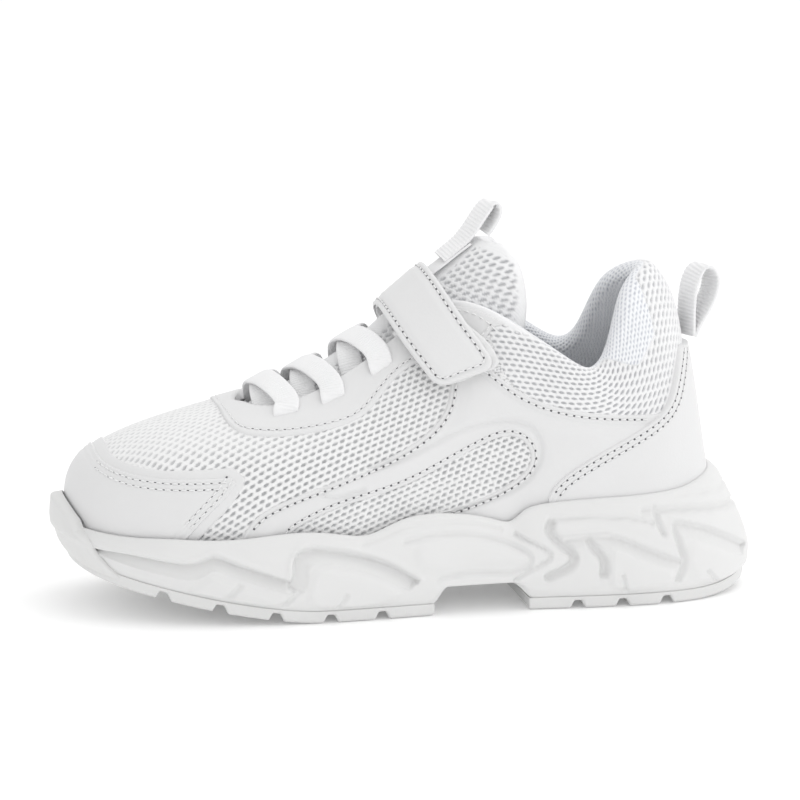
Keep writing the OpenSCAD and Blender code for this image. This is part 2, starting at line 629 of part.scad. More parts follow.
// Sewn root of the strap on the inner side
module strap_anchor() {
  color("whitesmoke") intersection() {
    upper_layer(second, outermost);
    side_cut([[1.5, 82.5], [20.5, 90.5], [26, 77], [7, 70]], 1);
  }
}

outsole_forefoot();
outsole_heel();
midsole();
strobel_board();
insole();
lining();
collar_foam();
heel_counter();
toe_puff();
vamp_mesh();
collar_mesh();
collar_binding();
toe_cap_underlay();
toe_cap();
eyestay();
side_panel_lateral();
side_panel_medial();
heel_panel();
loop_tape();
strap_anchor();
tongue_mesh();
tongue_foam();
tongue_lining();
tongue_pull_loop();
elastic_lace();
strap_cover();
strap_backing();
hook_tape();
heel_pull_loop();
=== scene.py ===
import bpy
import math
import numpy as np
from mathutils import Matrix


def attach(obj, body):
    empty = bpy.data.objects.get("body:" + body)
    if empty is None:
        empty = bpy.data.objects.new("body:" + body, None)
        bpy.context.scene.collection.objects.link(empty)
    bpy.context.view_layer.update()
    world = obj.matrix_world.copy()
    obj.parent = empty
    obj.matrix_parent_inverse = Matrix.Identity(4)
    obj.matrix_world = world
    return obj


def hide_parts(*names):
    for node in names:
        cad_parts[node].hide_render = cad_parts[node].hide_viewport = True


# Looks of a child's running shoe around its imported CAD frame. Shapes are worked out in millimetres
# in the frame's axes (toe -X, outer side -Y, up +Z) and scaled to metres when a mesh is made.

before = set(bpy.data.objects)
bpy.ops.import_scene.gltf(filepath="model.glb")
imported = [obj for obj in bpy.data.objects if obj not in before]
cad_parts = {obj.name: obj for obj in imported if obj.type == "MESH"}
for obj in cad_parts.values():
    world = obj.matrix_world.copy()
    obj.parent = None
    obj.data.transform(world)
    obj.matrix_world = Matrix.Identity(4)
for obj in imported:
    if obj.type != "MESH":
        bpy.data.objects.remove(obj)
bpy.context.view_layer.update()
MM = 0.001

# ---------------------------------------------------------------- camera, floor and light

AZIMUTH, ELEVATION, DISTANCE = math.radians(-10), math.radians(10), 1.3
RIGHT = np.array([math.cos(AZIMUTH), math.sin(AZIMUTH), 0])
BACK = np.array([math.sin(AZIMUTH) * math.cos(ELEVATION),
                 -math.cos(AZIMUTH) * math.cos(ELEVATION), math.sin(ELEVATION)])
UP = np.cross(BACK, RIGHT)
AIM = -0.00086 * RIGHT + 0.0657 * UP


def add_camera():
    data = bpy.data.cameras.new("camera")
    data.sensor_width, data.lens, data.clip_end = 36, 169.7, 30
    cam = bpy.data.objects.new("camera", data)
    axes = np.eye(4)
    axes[:3, 0], axes[:3, 1], axes[:3, 2] = RIGHT, UP, BACK
    axes[:3, 3] = AIM + DISTANCE * BACK
    cam.matrix_world = Matrix(axes.tolist())
    bpy.context.scene.collection.objects.link(cam)
    bpy.context.scene.camera = cam


def add_area(name, place, size, watts):
    data = bpy.data.lights.new(name, "AREA")
    data.size, data.energy = size, watts
    lamp = bpy.data.objects.new(name, data)
    lamp.location = place
    aim = (-lamp.location).to_track_quat("-Z", "Y")
    lamp.rotation_euler = aim.to_euler()
    bpy.context.scene.collection.objects.link(lamp)


def add_stage():
    me = bpy.data.meshes.new("floor")
    r = 5
    me.from_pydata([(-r, -r, 0), (r, -r, 0), (r, r, 0), (-r, r, 0)], [], [(0, 1, 2, 3)])
    floor = bpy.data.objects.new("floor", me)
    floor.location.z = -0.0001
    bpy.context.scene.collection.objects.link(floor)
    m = bpy.data.materials.new("floor_white")
    m.use_nodes = True
    inputs = m.node_tree.nodes["Principled BSDF"].inputs
    for key, value in (("Base Color", (0.97, 0.97, 0.97, 1)), ("Roughness", 0.9), ("Specular IOR Level", 0),
                       ("Emission Color", (1, 1, 1, 1)), ("Emission Strength", 0.11)):
        inputs[key].default_value = value
    me.materials.append(m)

    # White surround, a little dimmer on the toe's side
    world = bpy.data.worlds.new("studio")
    world.use_nodes = True
    nt = world.node_tree
    coord = nt.nodes.new("ShaderNodeTexCoord")
    split = nt.nodes.new("ShaderNodeSeparateXYZ")
    ramp = nt.nodes.new("ShaderNodeMapRange")
    ramp.inputs["From Min"].default_value, ramp.inputs["From Max"].default_value = -1, -0.1
    ramp.inputs["To Min"].default_value, ramp.inputs["To Max"].default_value = 0.7, 1.0
    nt.links.new(coord.outputs["Generated"], split.inputs[0])
    nt.links.new(split.outputs["X"], ramp.inputs["Value"])
    nt.links.new(ramp.outputs[0], nt.nodes["Background"].inputs["Strength"])
    nt.nodes["Background"].inputs["Color"].default_value = (1, 1, 1, 1)
    bpy.context.scene.world = world
    add_area("softbox_top", (0.25, 0.1, 1.3), 1.2, 2.45)
    add_area("softbox_heel", (1.3, -0.3, 0.7), 0.9, 1.5)
    add_area("fill_opening", (0.1, -0.28, 0.5), 0.12, 0.05)


add_camera()
add_stage()
bpy.context.scene.view_settings.view_transform = "Standard"

# ---------------------------------------------------------------- smooth curves


def weights(t):
    s = 1 - t
    return np.stack([s**3, 3 * t**3 - 6 * t**2 + 4, 3 * s**3 - 6 * s**2 + 4, t**3]) / 6


def loop_ctrl(p):
    p = np.asarray(p, float)
    return p - (np.roll(p, 1, 0) - 2 * p + np.roll(p, -1, 0)) / 6


def loop_at(ctrl, u):
    u = np.asarray(u, float)
    i = np.floor(u).astype(int)
    w = weights(u - i)
    w = w.reshape(w.shape + (1,) * (ctrl.ndim - 1))
    return sum(w[k] * ctrl[(i - 1 + k) % len(ctrl)] for k in range(4))


def open_ctrl(p):
    p = np.asarray(p, float)
    q = np.concatenate([2 * p[:1] - p[1:2], p, 2 * p[-1:] - p[-2:-1]])
    e = np.concatenate([2 * q[:1] - q[1:2], q, 2 * q[-1:] - q[-2:-1]])
    return e[1:-1] - (e[:-2] - 2 * e[1:-1] + e[2:]) / 6


def open_at(ctrl, t):
    n = len(ctrl) - 2
    t = np.clip(np.asarray(t, float), 0, n - 1)
    i = np.minimum(np.floor(t).astype(int), n - 2)
    w = weights(t - i)
    w = w.reshape(w.shape + (1,) * (ctrl.ndim - 1))
    return sum(w[k] * ctrl[i + k] for k in range(4))


def curve(p, k=8):
    n = len(p)
    return open_at(open_ctrl(p), np.linspace(0, n - 1, (n - 1) * k + 1))


def closed_curve(p, k=8):
    return loop_at(loop_ctrl(p), np.arange(len(p) * k) / k)


def unit(v):
    return v / np.maximum(np.linalg.norm(v, axis=-1, keepdims=True), 1e-9)


def run_length(path):
    """Length along a polyline at each of its points."""
    return np.concatenate([[0], np.cumsum(np.linalg.norm(np.diff(path, axis=0), axis=1))])


def smooth(x, a, b):
    t = np.clip((x - a) / (b - a), 0, 1)
    return t * t * (3 - 2 * t)


def mix(a, b, t):
    return a * (1 - t) + b * t


# ---------------------------------------------------------------- the upper's surface

LATERAL = [
    [[-111.5, 3, 22], [-124, 3, 57], [-99, 1.5, 58.5], [-49, 0, 70.5]],
    [[-103, -20, 20], [-113.5, -25, 54], [-93, -16, 59.5], [-48.5, -3, 71]],
    [[-84, -32, 19], [-89, -39.5, 52], [-77, -26, 63], [-46.5, -6, 72]],
    [[-56, -38, 18], [-57, -46, 50], [-52, -29, 66], [-42, -8.5, 74.5]],
    [[-28, -37.5, 18], [-29, -45, 53], [-27, -28, 72], [-28, -10.5, 81]],
    [[2, -34, 20], [-2, -40, 56], [-6, -27, 79], [-8, -13, 92.5]],
    [[28, -31, 22], [22, -36.5, 58], [14, -25, 86], [12, -17, 103.5]],
    [[46, -30.5, 23], [42, -35.5, 56], [36, -30, 76], [32, -25, 95]],
    [[62, -31, 24], [60, -35.5, 52], [57, -31, 66], [54, -29, 80.5]],
    [[84, -28.5, 25], [82, -33, 54], [75, -29, 66], [66.5, -25.3, 79.5]],
    [[100.5, -17.5, 25], [98, -21, 56], [92, -20, 78], [75.5, -19.5, 104]],
    [[108.5, 0, 25], [97.5, 0, 55], [102, 0, 96], [88.5, 0, 111]]]
MEDIAL = [
    [[100.5, 17.5, 25], [98, 21, 55], [92, 20, 78], [75.5, 19.5, 104]],
    [[84, 27, 25], [82, 32, 55], [75, 28, 67], [66.5, 25, 82.5]],
    [[62, 28, 24], [60, 33.5, 54], [57, 30, 68], [54, 28.5, 83]],
    [[46, 26.5, 23], [42, 32.5, 58], [36, 29, 78], [32, 25, 97]],
    [[28, 26, 22], [22, 31.5, 60], [14, 24, 88], [12, 17, 104]],
    [[2, 28, 20], [-2, 33.5, 58], [-6, 25, 80], [-8, 13, 92.5]],
    [[-28, 34, 18], [-29, 40, 53], [-27, 26, 72], [-28, 10.5, 81]],
    [[-56, 39, 18], [-57, 45.5, 50], [-52, 28, 66], [-42, 8.5, 74.5]],
    [[-84, 35.5, 19], [-89, 42, 52], [-77, 27, 63], [-46.5, 6, 72]],
    [[-103, 23.5, 20], [-113.5, 29, 54], [-93, 19, 59.5], [-48.5, 3, 71]]]
SHARE = [0.94, 0.935, 0.91, 0.82, 0.85, 0.92, 0.98, 1, 1, 1, 1, 1,
         1, 1, 1, 1, 0.98, 0.92, 0.85, 0.82, 0.91, 0.935]
N = len(SHARE)
RIBS = loop_ctrl(LATERAL + MEDIAL)
SHARES = loop_ctrl(SHARE)
VAMP_WALL, COLLAR_WALL, LINING_T = 3.0, 8.0, 0.8
OVERLAY, SECOND, HEEL_H = 0.9, 1.6, 2.3     # heights of the leather layers over the mesh
DOUBLE_SEAM, SINGLE_SEAM = (1.7, 3.6), 1.8  # distances of the stitch rows from a leather edge


def bezier(r, v):
    v = np.asarray(v, float)[..., None]
    s = 1 - v
    return (s**3 * r[..., 0, :] + 3 * s * s * v * r[..., 1, :]
            + 3 * s * v * v * r[..., 2, :] + v**3 * r[..., 3, :])


def skin(u, v):
    return bezier(loop_at(RIBS, u), v * loop_at(SHARES, u))


def normal_of(surface, u, v, eu, ev):
    """Normal of surface(u, v), from steps of eu and ev."""
    return unit(np.cross(surface(u + eu, v) - surface(u - eu, v), surface(u, v + ev) - surface(u, v - ev)))


def raised(surface, u, v, h, eu, ev):
    return surface(u, v) + normal_of(surface, u, v, eu, ev) * np.asarray(h, float)[..., None]


def skin_normal(u, v):
    return normal_of(skin, u, v, 0.02, 0.02)


def on_skin(u, v, h):
    return raised(skin, u, v, h, 0.02, 0.02)


def wall(u, v):
    side = np.minimum(u % N, N - u % N)
    return mix(VAMP_WALL, COLLAR_WALL, smooth(side, 5.5, 7.6) * smooth(v, 0.45, 0.85))


def on_lining(u, v, h):
    return on_skin(u, v, np.asarray(h, float) - wall(u, v))


def other_side(u, side):
    return u if side < 0 else N - u


# Where a side-view point [x, z] lies on the upper: rib position and share of the rib
def locate(xz, side):
    us = np.linspace(0.05, N / 2 - 0.05, 260) + (0 if side < 0 else N / 2)
    grid_u, grid_v = np.meshgrid(us, np.linspace(0, 1.04, 90), indexing="ij")
    flat = skin(grid_u, grid_v)[..., [0, 2]].reshape(-1, 2)
    near = np.array([np.argmin(((flat - p) ** 2).sum(1)) for p in xz])
    u, v = grid_u.ravel()[near], grid_v.ravel()[near]
    e = 1e-3
    for _ in range(4):
        p = skin(u, v)[:, [0, 2]]
        du = (skin(u + e, v)[:, [0, 2]] - p) / e
        dv = (skin(u, v + e)[:, [0, 2]] - p) / e
        r = xz - p
        det = du[:, 0] * dv[:, 1] - du[:, 1] * dv[:, 0]
        det = np.where(np.abs(det) < 1, 1e9, det)
        u = u + np.clip((r[:, 0] * dv[:, 1] - r[:, 1] * dv[:, 0]) / det, -0.2, 0.2)
        v = v + np.clip((du[:, 0] * r[:, 1] - du[:, 1] * r[:, 0]) / det, -0.1, 0.1)
    return u, np.clip(v, 0, 1.05)


# ---------------------------------------------------------------- distances to outlines


def line_distance(p, line, closed=False):
    """Distance of 2-D points to a polyline."""
    a = np.asarray(line, np.float32)
    b = np.roll(a, -1, 0) if closed else a[1:]
    a = a if closed else a[:-1]
    out = np.full(len(p), 1e9, np.float32)
    p = p.astype(np.float32)
    for s, e in zip(a, b):
        d = e - s
        t = np.clip(((p - s) @ d) / max(float(d @ d), 1e-9), 0, 1)
        q = p - s - t[:, None] * d
        np.minimum(out, (q * q).sum(1), out=out)
    return np.sqrt(out)


def inside(p, polygon):
    """Signed distance of 2-D points to a closed outline, positive inside."""
    a = np.asarray(polygon, np.float32)
    b = np.roll(a, -1, 0)
    odd = np.zeros(len(p), bool)
    x, z = p[:, 0], p[:, 1]
    for (x0, z0), (x1, z1) in zip(a, b):
        if z0 == z1:
            continue
        hit = ((z0 > z) != (z1 > z)) & (x < (x1 - x0) * (z - z0) / (z1 - z0) + x0)
        odd ^= hit
    return np.where(odd, 1, -1) * line_distance(p, polygon, True)


def offset_line(line, d):
    """Polyline moved d to its left."""
    t = unit(np.gradient(line, axis=0))
    return line + d * np.stack([-t[:, 1], t[:, 0]], 1)


# ---------------------------------------------------------------- meshes


def make(name, points, faces, body, mat, painted_shade=None, crease=40, replaces=(), slot=None):
    me = bpy.data.meshes.new(name)
    me.from_pydata((np.asarray(points) * MM).tolist(), [], [list(map(int, f)) for f in faces])
    me.validate()
    me.polygons.foreach_set("use_smooth", np.ones(len(me.polygons), bool))
    if crease:
        me.set_sharp_from_angle(angle=math.radians(crease))
    if painted_shade is not None:
        a = me.attributes.new("painted_shade", "FLOAT", "POINT")
        a.data.foreach_set("value", np.asarray(painted_shade, np.float32))
    me.materials.append(mat)
    ob = bpy.data.objects.new(name, me)
    bpy.context.scene.collection.objects.link(ob)
    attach(ob, body)
    if replaces:
        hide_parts(*replaces)
    return ob


def flat_list(arrays):
    return [f for a in arrays for f in a.tolist()]


def sheet(name, us, vs, at, body, mat, cut=None, top=0.8, under=-0.5, painted_shade=None, **made):
    """Closed sheet over the grid us x vs, kept where cut(points, u, v) is positive.
    top and under are heights, or functions of (points, distance, u, v)."""
    gu, gv = np.meshgrid(us, vs, indexing="ij")
    u, v = gu.ravel(), gv.ravel()
    base = at(u, v, np.zeros_like(u))
    d = np.full(len(u), 1e3) if cut is None else cut(base, u, v).astype(float)
    idx = np.arange(len(u)).reshape(gu.shape)
    a, b, c, e = idx[:-1, :-1], idx[1:, :-1], idx[1:, 1:], idx[:-1, 1:]
    tri = np.concatenate([np.stack([a, b, c], -1).reshape(-1, 3), np.stack([a, c, e], -1).reshape(-1, 3)])
    keep = d > 0
    count = keep[tri].sum(1)
    tris = [tri[count == 3]]
    part = tri[(count == 1) | (count == 2)]
    if len(part):
        k = keep[part]
        first = np.where(k.sum(1) == 1, k.argmax(1), k.argmin(1))
        part = np.take_along_axis(part, (first[:, None] + np.arange(3)) % 3, 1)
        pairs = np.sort(np.concatenate([part[:, [0, 1]], part[:, [0, 2]]]), 1)
        keys, inv = np.unique(pairs[:, 0] * len(u) + pairs[:, 1], return_inverse=True)
        lo, hi = keys // len(u), keys % len(u)
        t = np.clip(d[lo] / (d[lo] - d[hi]), 0.02, 0.98)
        e1, e2 = inv[:len(part)] + len(u), inv[len(part):] + len(u)
        u = np.concatenate([u, mix(u[lo], u[hi], t)])
        v = np.concatenate([v, mix(v[lo], v[hi], t)])
        d = np.concatenate([d, np.zeros(len(keys))])
        one = keep[part[:, 0]]
        tris += [np.stack([part[one, 0], e1[one], e2[one]], 1),
                 np.stack([e1[~one], part[~one, 1], part[~one, 2]], 1),
                 np.stack([e1[~one], part[~one, 2], e2[~one]], 1)]
    tri = np.concatenate(tris)
    used, tri = np.unique(tri, return_inverse=True)
    tri = tri.reshape(-1, 3)
    u, v, d = u[used], v[used], np.maximum(d[used], 0)
    base = at(u, v, np.zeros_like(u))
    high = top(base, d, u, v) if callable(top) else np.full(len(u), float(top))
    low = under(base, d, u, v) if callable(under) else np.full(len(u), float(under))
    n = len(u)
    pairs = np.concatenate([tri[:, [0, 1]], tri[:, [1, 2]], tri[:, [2, 0]]])
    border = pairs[~np.isin(pairs[:, 0] * n + pairs[:, 1], pairs[:, 1] * n + pairs[:, 0])]
    side = np.stack([border[:, 1], border[:, 0], border[:, 0] + n, border[:, 1] + n], 1)
    tone = None
    if painted_shade is not None:
        s = painted_shade(base, d, u, v)
        tone = np.concatenate([s, s])
    return make(name, np.concatenate([at(u, v, high), at(u, v, low)]),
                flat_list([tri, tri[:, ::-1] + n, side]), body, mat, tone, **made)


def ring_quads(n, m):
    """Quads between n closed rings of m points."""
    i, j = np.meshgrid(np.arange(n - 1), np.arange(m), indexing="ij")
    quads = [i * m + j, i * m + (j + 1) % m, (i + 1) * m + (j + 1) % m, (i + 1) * m + j]
    return np.stack(quads, -1).reshape(-1, 4)


def tube(name, rings, body, mat, **made):
    """Closed skin over rings of points, each ring closed."""
    n, m = len(rings), len(rings[0])
    faces = ring_quads(n, m).tolist() + [list(range(m))[::-1], list(range((n - 1) * m, n * m))]
    return make(name, np.reshape(rings, (-1, 3)), faces, body, mat, **made)


# ---------------------------------------------------------------- materials


def new_material(name, color, rough, spec=0.4):
    m = bpy.data.materials.new(name)
    m.use_nodes = True
    s = m.node_tree.nodes["Principled BSDF"]
    s.inputs["Base Color"].default_value = (*color, 1)
    s.inputs["Roughness"].default_value = rough
    s.inputs["Specular IOR Level"].default_value = spec
    return m


def node(m, kind, **inputs):
    n = m.node_tree.nodes.new("ShaderNode" + kind)
    for k, v in inputs.items():
        n.inputs[k.replace("_", " ")].default_value = v
    return n


def link(m, a, b):
    m.node_tree.links.new(a, b)


def textured(name, color, rough, grain, depth, mottle=0.03, hole_shade_colour=None, sheen=0, spec=0.4,
             kind="Noise", wave=None):
    """Material with mottled colour and roughness, fine relief and, where the mesh has a value for it, painted shade:
    the colour drawn darker in knit openings and holes.
    """
    m = new_material(name, color, rough, spec)
    s = m.node_tree.nodes["Principled BSDF"]
    s.inputs["Sheen Weight"].default_value = sheen
    coord = node(m, "TexCoord").outputs["Object"]
    blotch = node(m, "TexNoise", Scale=60.0, Detail=4.0)
    link(m, coord, blotch.inputs["Vector"])
    tint = node(m, "MapRange", From_Min=0.3, From_Max=0.7, To_Min=1 - mottle, To_Max=1.0)
    link(m, blotch.outputs["Fac"], tint.inputs["Value"])
    # Painted shade: a per-vertex value blends the colour towards its darker copy where openings would be in shade.
    painted_shade = m.node_tree.nodes.new("ShaderNodeAttribute")
    painted_shade.attribute_name = "painted_shade"
    hue = node(m, "Mix")
    hue.data_type = "RGBA"
    hue.inputs[6].default_value = (*color, 1)
    hue.inputs[7].default_value = (*(hole_shade_colour or [c * 0.5 for c in color]), 1)
    link(m, painted_shade.outputs["Fac"], hue.inputs[0])
    scale = m.node_tree.nodes.new("ShaderNodeVectorMath")
    scale.operation = "SCALE"
    link(m, hue.outputs[2], scale.inputs[0])
    link(m, tint.outputs[0], scale.inputs["Scale"])
    link(m, scale.outputs[0], s.inputs["Base Color"])
    gloss = node(m, "MapRange", From_Min=0.3, From_Max=0.7, To_Min=rough - 0.06, To_Max=rough + 0.06)
    link(m, blotch.outputs["Fac"], gloss.inputs["Value"])
    link(m, gloss.outputs[0], s.inputs["Roughness"])
    if kind == "Voronoi":
        fine = node(m, "TexVoronoi", Scale=float(grain))
        fine.feature = "SMOOTH_F1"
        out = fine.outputs["Distance"]
    else:
        fine = node(m, "TexNoise", Scale=float(grain), Detail=3.0)
        out = fine.outputs["Fac"]
    link(m, coord, fine.inputs["Vector"])
    bump = node(m, "Bump", Strength=0.5, Distance=depth * MM)
    link(m, out, bump.inputs["Height"])
    if wave:
        ribs = node(m, "TexWave", Scale=wave, Distortion=0.6, Detail=1.0)
        ribs.bands_direction = "DIAGONAL"
        link(m, coord, ribs.inputs["Vector"])
        second = node(m, "Bump", Strength=0.4, Distance=0.12 * MM)
        link(m, ribs.outputs["Fac"], second.inputs["Height"])
        link(m, bump.outputs[0], second.inputs["Normal"])
        bump = second
    link(m, bump.outputs[0], s.inputs["Normal"])
    return m


LEATHER = textured("leather_white", (0.765, 0.765, 0.767), 0.45, 1400, 0.05, 0.02, kind="Voronoi")
# The darker second colours of the knits and the lining are painted shade for their openings.
KNIT = dict(rough=0.85, grain=2500, depth=0.08, sheen=0.15, spec=0.2, wave=420.0)
MESH = textured("mesh_white", (0.88, 0.88, 0.88), hole_shade_colour=(0.50, 0.505, 0.515), **KNIT)
COLLAR = textured("mesh_collar", (0.88, 0.88, 0.885), hole_shade_colour=(0.60, 0.605, 0.62), **KNIT)
LINING = textured("lining_knit", (0.90, 0.91, 0.93), 0.9, 2500, 0.08, 0.03, (0.60, 0.62, 0.67), 0.2, 0.2)
WOVEN = ((0.88, 0.88, 0.885), 0.8, 2600, 0.06, 0.03, (0.5, 0.5, 0.52), 0.15, 0.2)
WEBBING = textured("webbing_white", *WOVEN)
ELASTIC = textured("elastic_white", *WOVEN)
THREAD = textured("thread_white", (0.84, 0.84, 0.84), 0.6, 4000, 0.05, 0.02)
# Near-black needle holes: painted shade in the stitch holes.
HOLE_SHADE = textured("stitch_hole_shade", (0.16, 0.16, 0.17), 0.9, 3000, 0.02, 0.1)
EVA = textured("foam_white", (0.765, 0.765, 0.762), 0.6, 1100, 0.035, 0.02)
RUBBER = textured("rubber_white", (0.745, 0.745, 0.74), 0.55, 900, 0.05, 0.03)
# Its darker second colour is painted shade in the perforations.
INSOLE = textured("insole_cloth", (0.80, 0.82, 0.86), 0.9, 1800, 0.08, 0.05, (0.5, 0.53, 0.6), 0.2, 0.2)
BOARD = textured("board_grey", (0.66, 0.65, 0.62), 0.9, 1200, 0.08, 0.06)
HOOKS = textured("hook_nylon", (0.78, 0.78, 0.78), 0.5, 1900, 0.25, 0.04, kind="Voronoi")
PILE = textured("loop_pile", (0.82, 0.82, 0.82), 0.95, 2200, 0.2, 0.05, sheen=0.4)

# ---------------------------------------------------------------- outlines seen from the side, [x, z]

TOE_CAP = np.concatenate([[[-140, 10], [-140, 80], [-105, 80]],
                          curve([[-105, 55], [-104.5, 52], [-99.5, 50], [-93, 48.8], [-82, 48.2],
                                 [-70, 48.6], [-64, 49]]),
                          curve([[-62, 47], [-66, 42], [-72.5, 35.5], [-79, 28], [-88, 15]])])
UNDERLAY = np.concatenate([[[-140, 10], [-140, 80], [-101.5, 80]],
                           curve([[-101.5, 57], [-101, 53.5], [-96, 52], [-88, 50.8], [-76, 51], [-63, 52]]),
                           curve([[-59, 48.5], [-62.5, 42], [-69, 35], [-76, 27], [-85, 15]])])
EYESTAY = np.concatenate([[[-64.5, 118]],
                          curve([[-64.5, 68], [-64, 65.5], [-61, 62.5], [-55, 61], [-44, 61], [-31, 62.8], [-20, 66],
                                 [-13, 72], [-6, 79], [2, 84], [12, 87], [21, 88.6], [24.4, 91.6], [27.4, 95],
                                 [33, 95.6]]), [[36, 118]]])
PANEL_FRONT = curve([[-70, 12], [-62, 27], [-57, 35], [-49, 40], [-35, 45], [-17.5, 51], [-3.5, 57],
                     [5.5, 63.5], [10, 70], [11.5, 77], [13, 83.5]])
PANEL_TOP = curve([[19, 85.5], [24, 82], [29, 78], [35, 73.5], [45, 69], [58.5, 66], [76, 64.5], [90, 64]])
PANEL = np.concatenate([PANEL_FRONT, PANEL_TOP, [[90, 50]], curve([[68, 46], [60, 38], [56, 12]])])
WINDOW = closed_curve([[-46, 29], [-36, 35], [-25, 39], [-7, 43.5], [7, 49.5], [21, 56], [29, 58.8], [35, 57.5],
                       [38, 52.5], [36, 47], [28, 41.5], [16, 37], [2, 33.5], [-10, 31], [-22, 27], [-36, 25]])
EMBOSS = curve([[-20, 43.4], [-27, 41.6], [-32, 41.6], [-34, 43.8], [-30.8, 46.2], [-21.3, 49.2], [-6.7, 52.4],
                [6.3, 58.4], [20.3, 63.2], [33, 63.5], [39.1, 60.5], [41.4, 54.1], [39.5, 47.3], [32.7, 41],
                [20.8, 36.7], [8, 33.5]])
HEEL_FRONT = curve([[36, 12], [42.5, 35], [46, 42], [53, 48], [65, 54.5], [77.5, 60.5], [85, 65.5],
                    [88.5, 72], [91, 80], [92.5, 85]])
HEEL = np.concatenate([HEEL_FRONT, [[130, 86], [130, 12]]])
COLLAR_CUT = np.concatenate([[[22, 130], [21, 97]],
                             curve([[22, 90], [25, 80], [33, 70], [45, 64], [60, 61], [76, 60], [92, 60], [112, 60]]),
                             [[120, 130]]])


def xz(p):
    return p[:, [0, 2]]


def rounded(d, r):
    """Height share of a rounded edge, from 0 at the outline to 1 at r inside it."""
    t = 1 - np.clip(d / r, 0, 1)
    return np.sqrt(np.maximum(1 - t * t, 0))


def trench(d, at, width, depth):
    return depth * np.exp(-((d - at) / width) ** 2)


def seam_grooves(q):
    return sum(trench(q, at, 0.5, 0.22) for at in DOUBLE_SEAM)


def holes(a, b, pitch, slant, size=(0.36, 0.27)):
    """1 inside the staggered oval openings of a knit, 0 on its threads."""
    ca, sa = math.cos(slant), math.sin(slant)
    p, q = (a * ca + b * sa) / pitch[0], (b * ca - a * sa) / pitch[1]
    row = np.floor(q + 0.5)
    p = p - 0.5 * (row % 2)
    r = np.hypot((p - np.round(p)) / size[0], (q - row) / size[1])
    return 1 - smooth(r, 0.7, 1.15)


class ClothMap:
    """Lengths along and up the cloth laid on a surface: the least-strained flat pattern of a grid of it."""

    def __init__(self, surface, us, vs, along=None):
        self.us, self.vs = us, vs
        gu, gv = np.meshgrid(us, vs, indexing="ij")
        p = surface(gu.ravel(), gv.ravel()).reshape(gu.shape + (3,))
        tu, tv = np.gradient(p, axis=0), np.gradient(p, axis=1)
        n = unit(np.cross(tu, tv))
        a = tu if along is None else np.broadcast_to(np.array(along, float), p.shape)
        a = unit(a - n * (a * n).sum(-1, keepdims=True))
        b = np.cross(n, a)
        idx = np.arange(gu.size).reshape(gu.shape)
        pairs = [(idx[:-1], idx[1:]), (idx[:, :-1], idx[:, 1:]),
                 (idx[:-1, :-1], idx[1:, 1:]), (idx[1:, :-1], idx[:-1, 1:])]
        i = np.concatenate([q[0].ravel() for q in pairs])
        j = np.concatenate([q[1].ravel() for q in pairs])
        p, a, b = p.reshape(-1, 3), a.reshape(-1, 3), b.reshape(-1, 3)
        e = p[j] - p[i]
        w = 1 / np.maximum((e * e).sum(1), 1e-3)
        m = np.zeros((len(p), len(p)))
        np.add.at(m, (i, i), w)
        np.add.at(m, (j, j), w)
        np.add.at(m, (i, j), -w)
        np.add.at(m, (j, i), -w)
        m[0, 0] += 1
        rhs = np.zeros((len(p), 2))
        for k, axis in enumerate((a, b)):
            want = w * (e * (axis[i] + axis[j]) / 2).sum(1)
            np.add.at(rhs[:, k], j, want)
            np.add.at(rhs[:, k], i, -want)
        self.ab = np.linalg.solve(m, rhs).reshape(gu.shape + (2,))

    def __call__(self, u, v):
        i = np.clip((u - self.us[0]) / (self.us[1] - self.us[0]), 0, len(self.us) - 1.001)
        j = np.clip((v - self.vs[0]) / (self.vs[1] - self.vs[0]), 0, len(self.vs) - 1.001)
        i0, j0 = i.astype(int), j.astype(int)
        fi, fj = (i - i0)[:, None], (j - j0)[:, None]
        g = self.ab
        return mix(mix(g[i0, j0], g[i0 + 1, j0], fi), mix(g[i0, j0 + 1], g[i0 + 1, j0 + 1], fi), fj).T


PITCH, SLANT = (2.75, 1.75), math.radians(20)


RIM_LINE = [[-119, 30], [-100, 28.6], [-88, 28.9], [-75, 28.4], [-62, 28.9], [-52, 30], [-42, 30.6], [-32, 29.9],
            [-22, 28.4], [-15, 29.5], [-6, 33.2], [5, 34.4], [18, 33.2], [26, 31], [31, 30], [36, 33.3], [42, 35.6],
            [60, 37], [75, 37.4], [89, 38], [99, 38.8], [112, 41.5], [123, 43.5]]


def rim_height(x):
    line = curve(RIM_LINE, 6)
    return np.interp(x, line[:, 0], line[:, 1])


def above_rim(p, sink=3):
    return p[:, 2] - rim_height(p[:, 0]) + sink


# ---------------------------------------------------------------- upper


def half(side, step):
    """Rib positions of one side of the shoe, evenly spaced."""
    return np.linspace(0, N / 2, int(N / 2 / step) + 1) + (0 if side < 0 else N / 2)


def vamp_cut(p, u, v):
    q = xz(p)
    solid = np.minimum(inside(q, PANEL), -inside(q, WINDOW))
    f = np.minimum.reduce([1.6 - inside(q, UNDERLAY), 1.6 - inside(q, EYESTAY), 1.6 - solid,
                           1.6 - inside(q, HEEL), 4 - inside(q, COLLAR_CUT)])
    return np.minimum(f, above_rim(p))


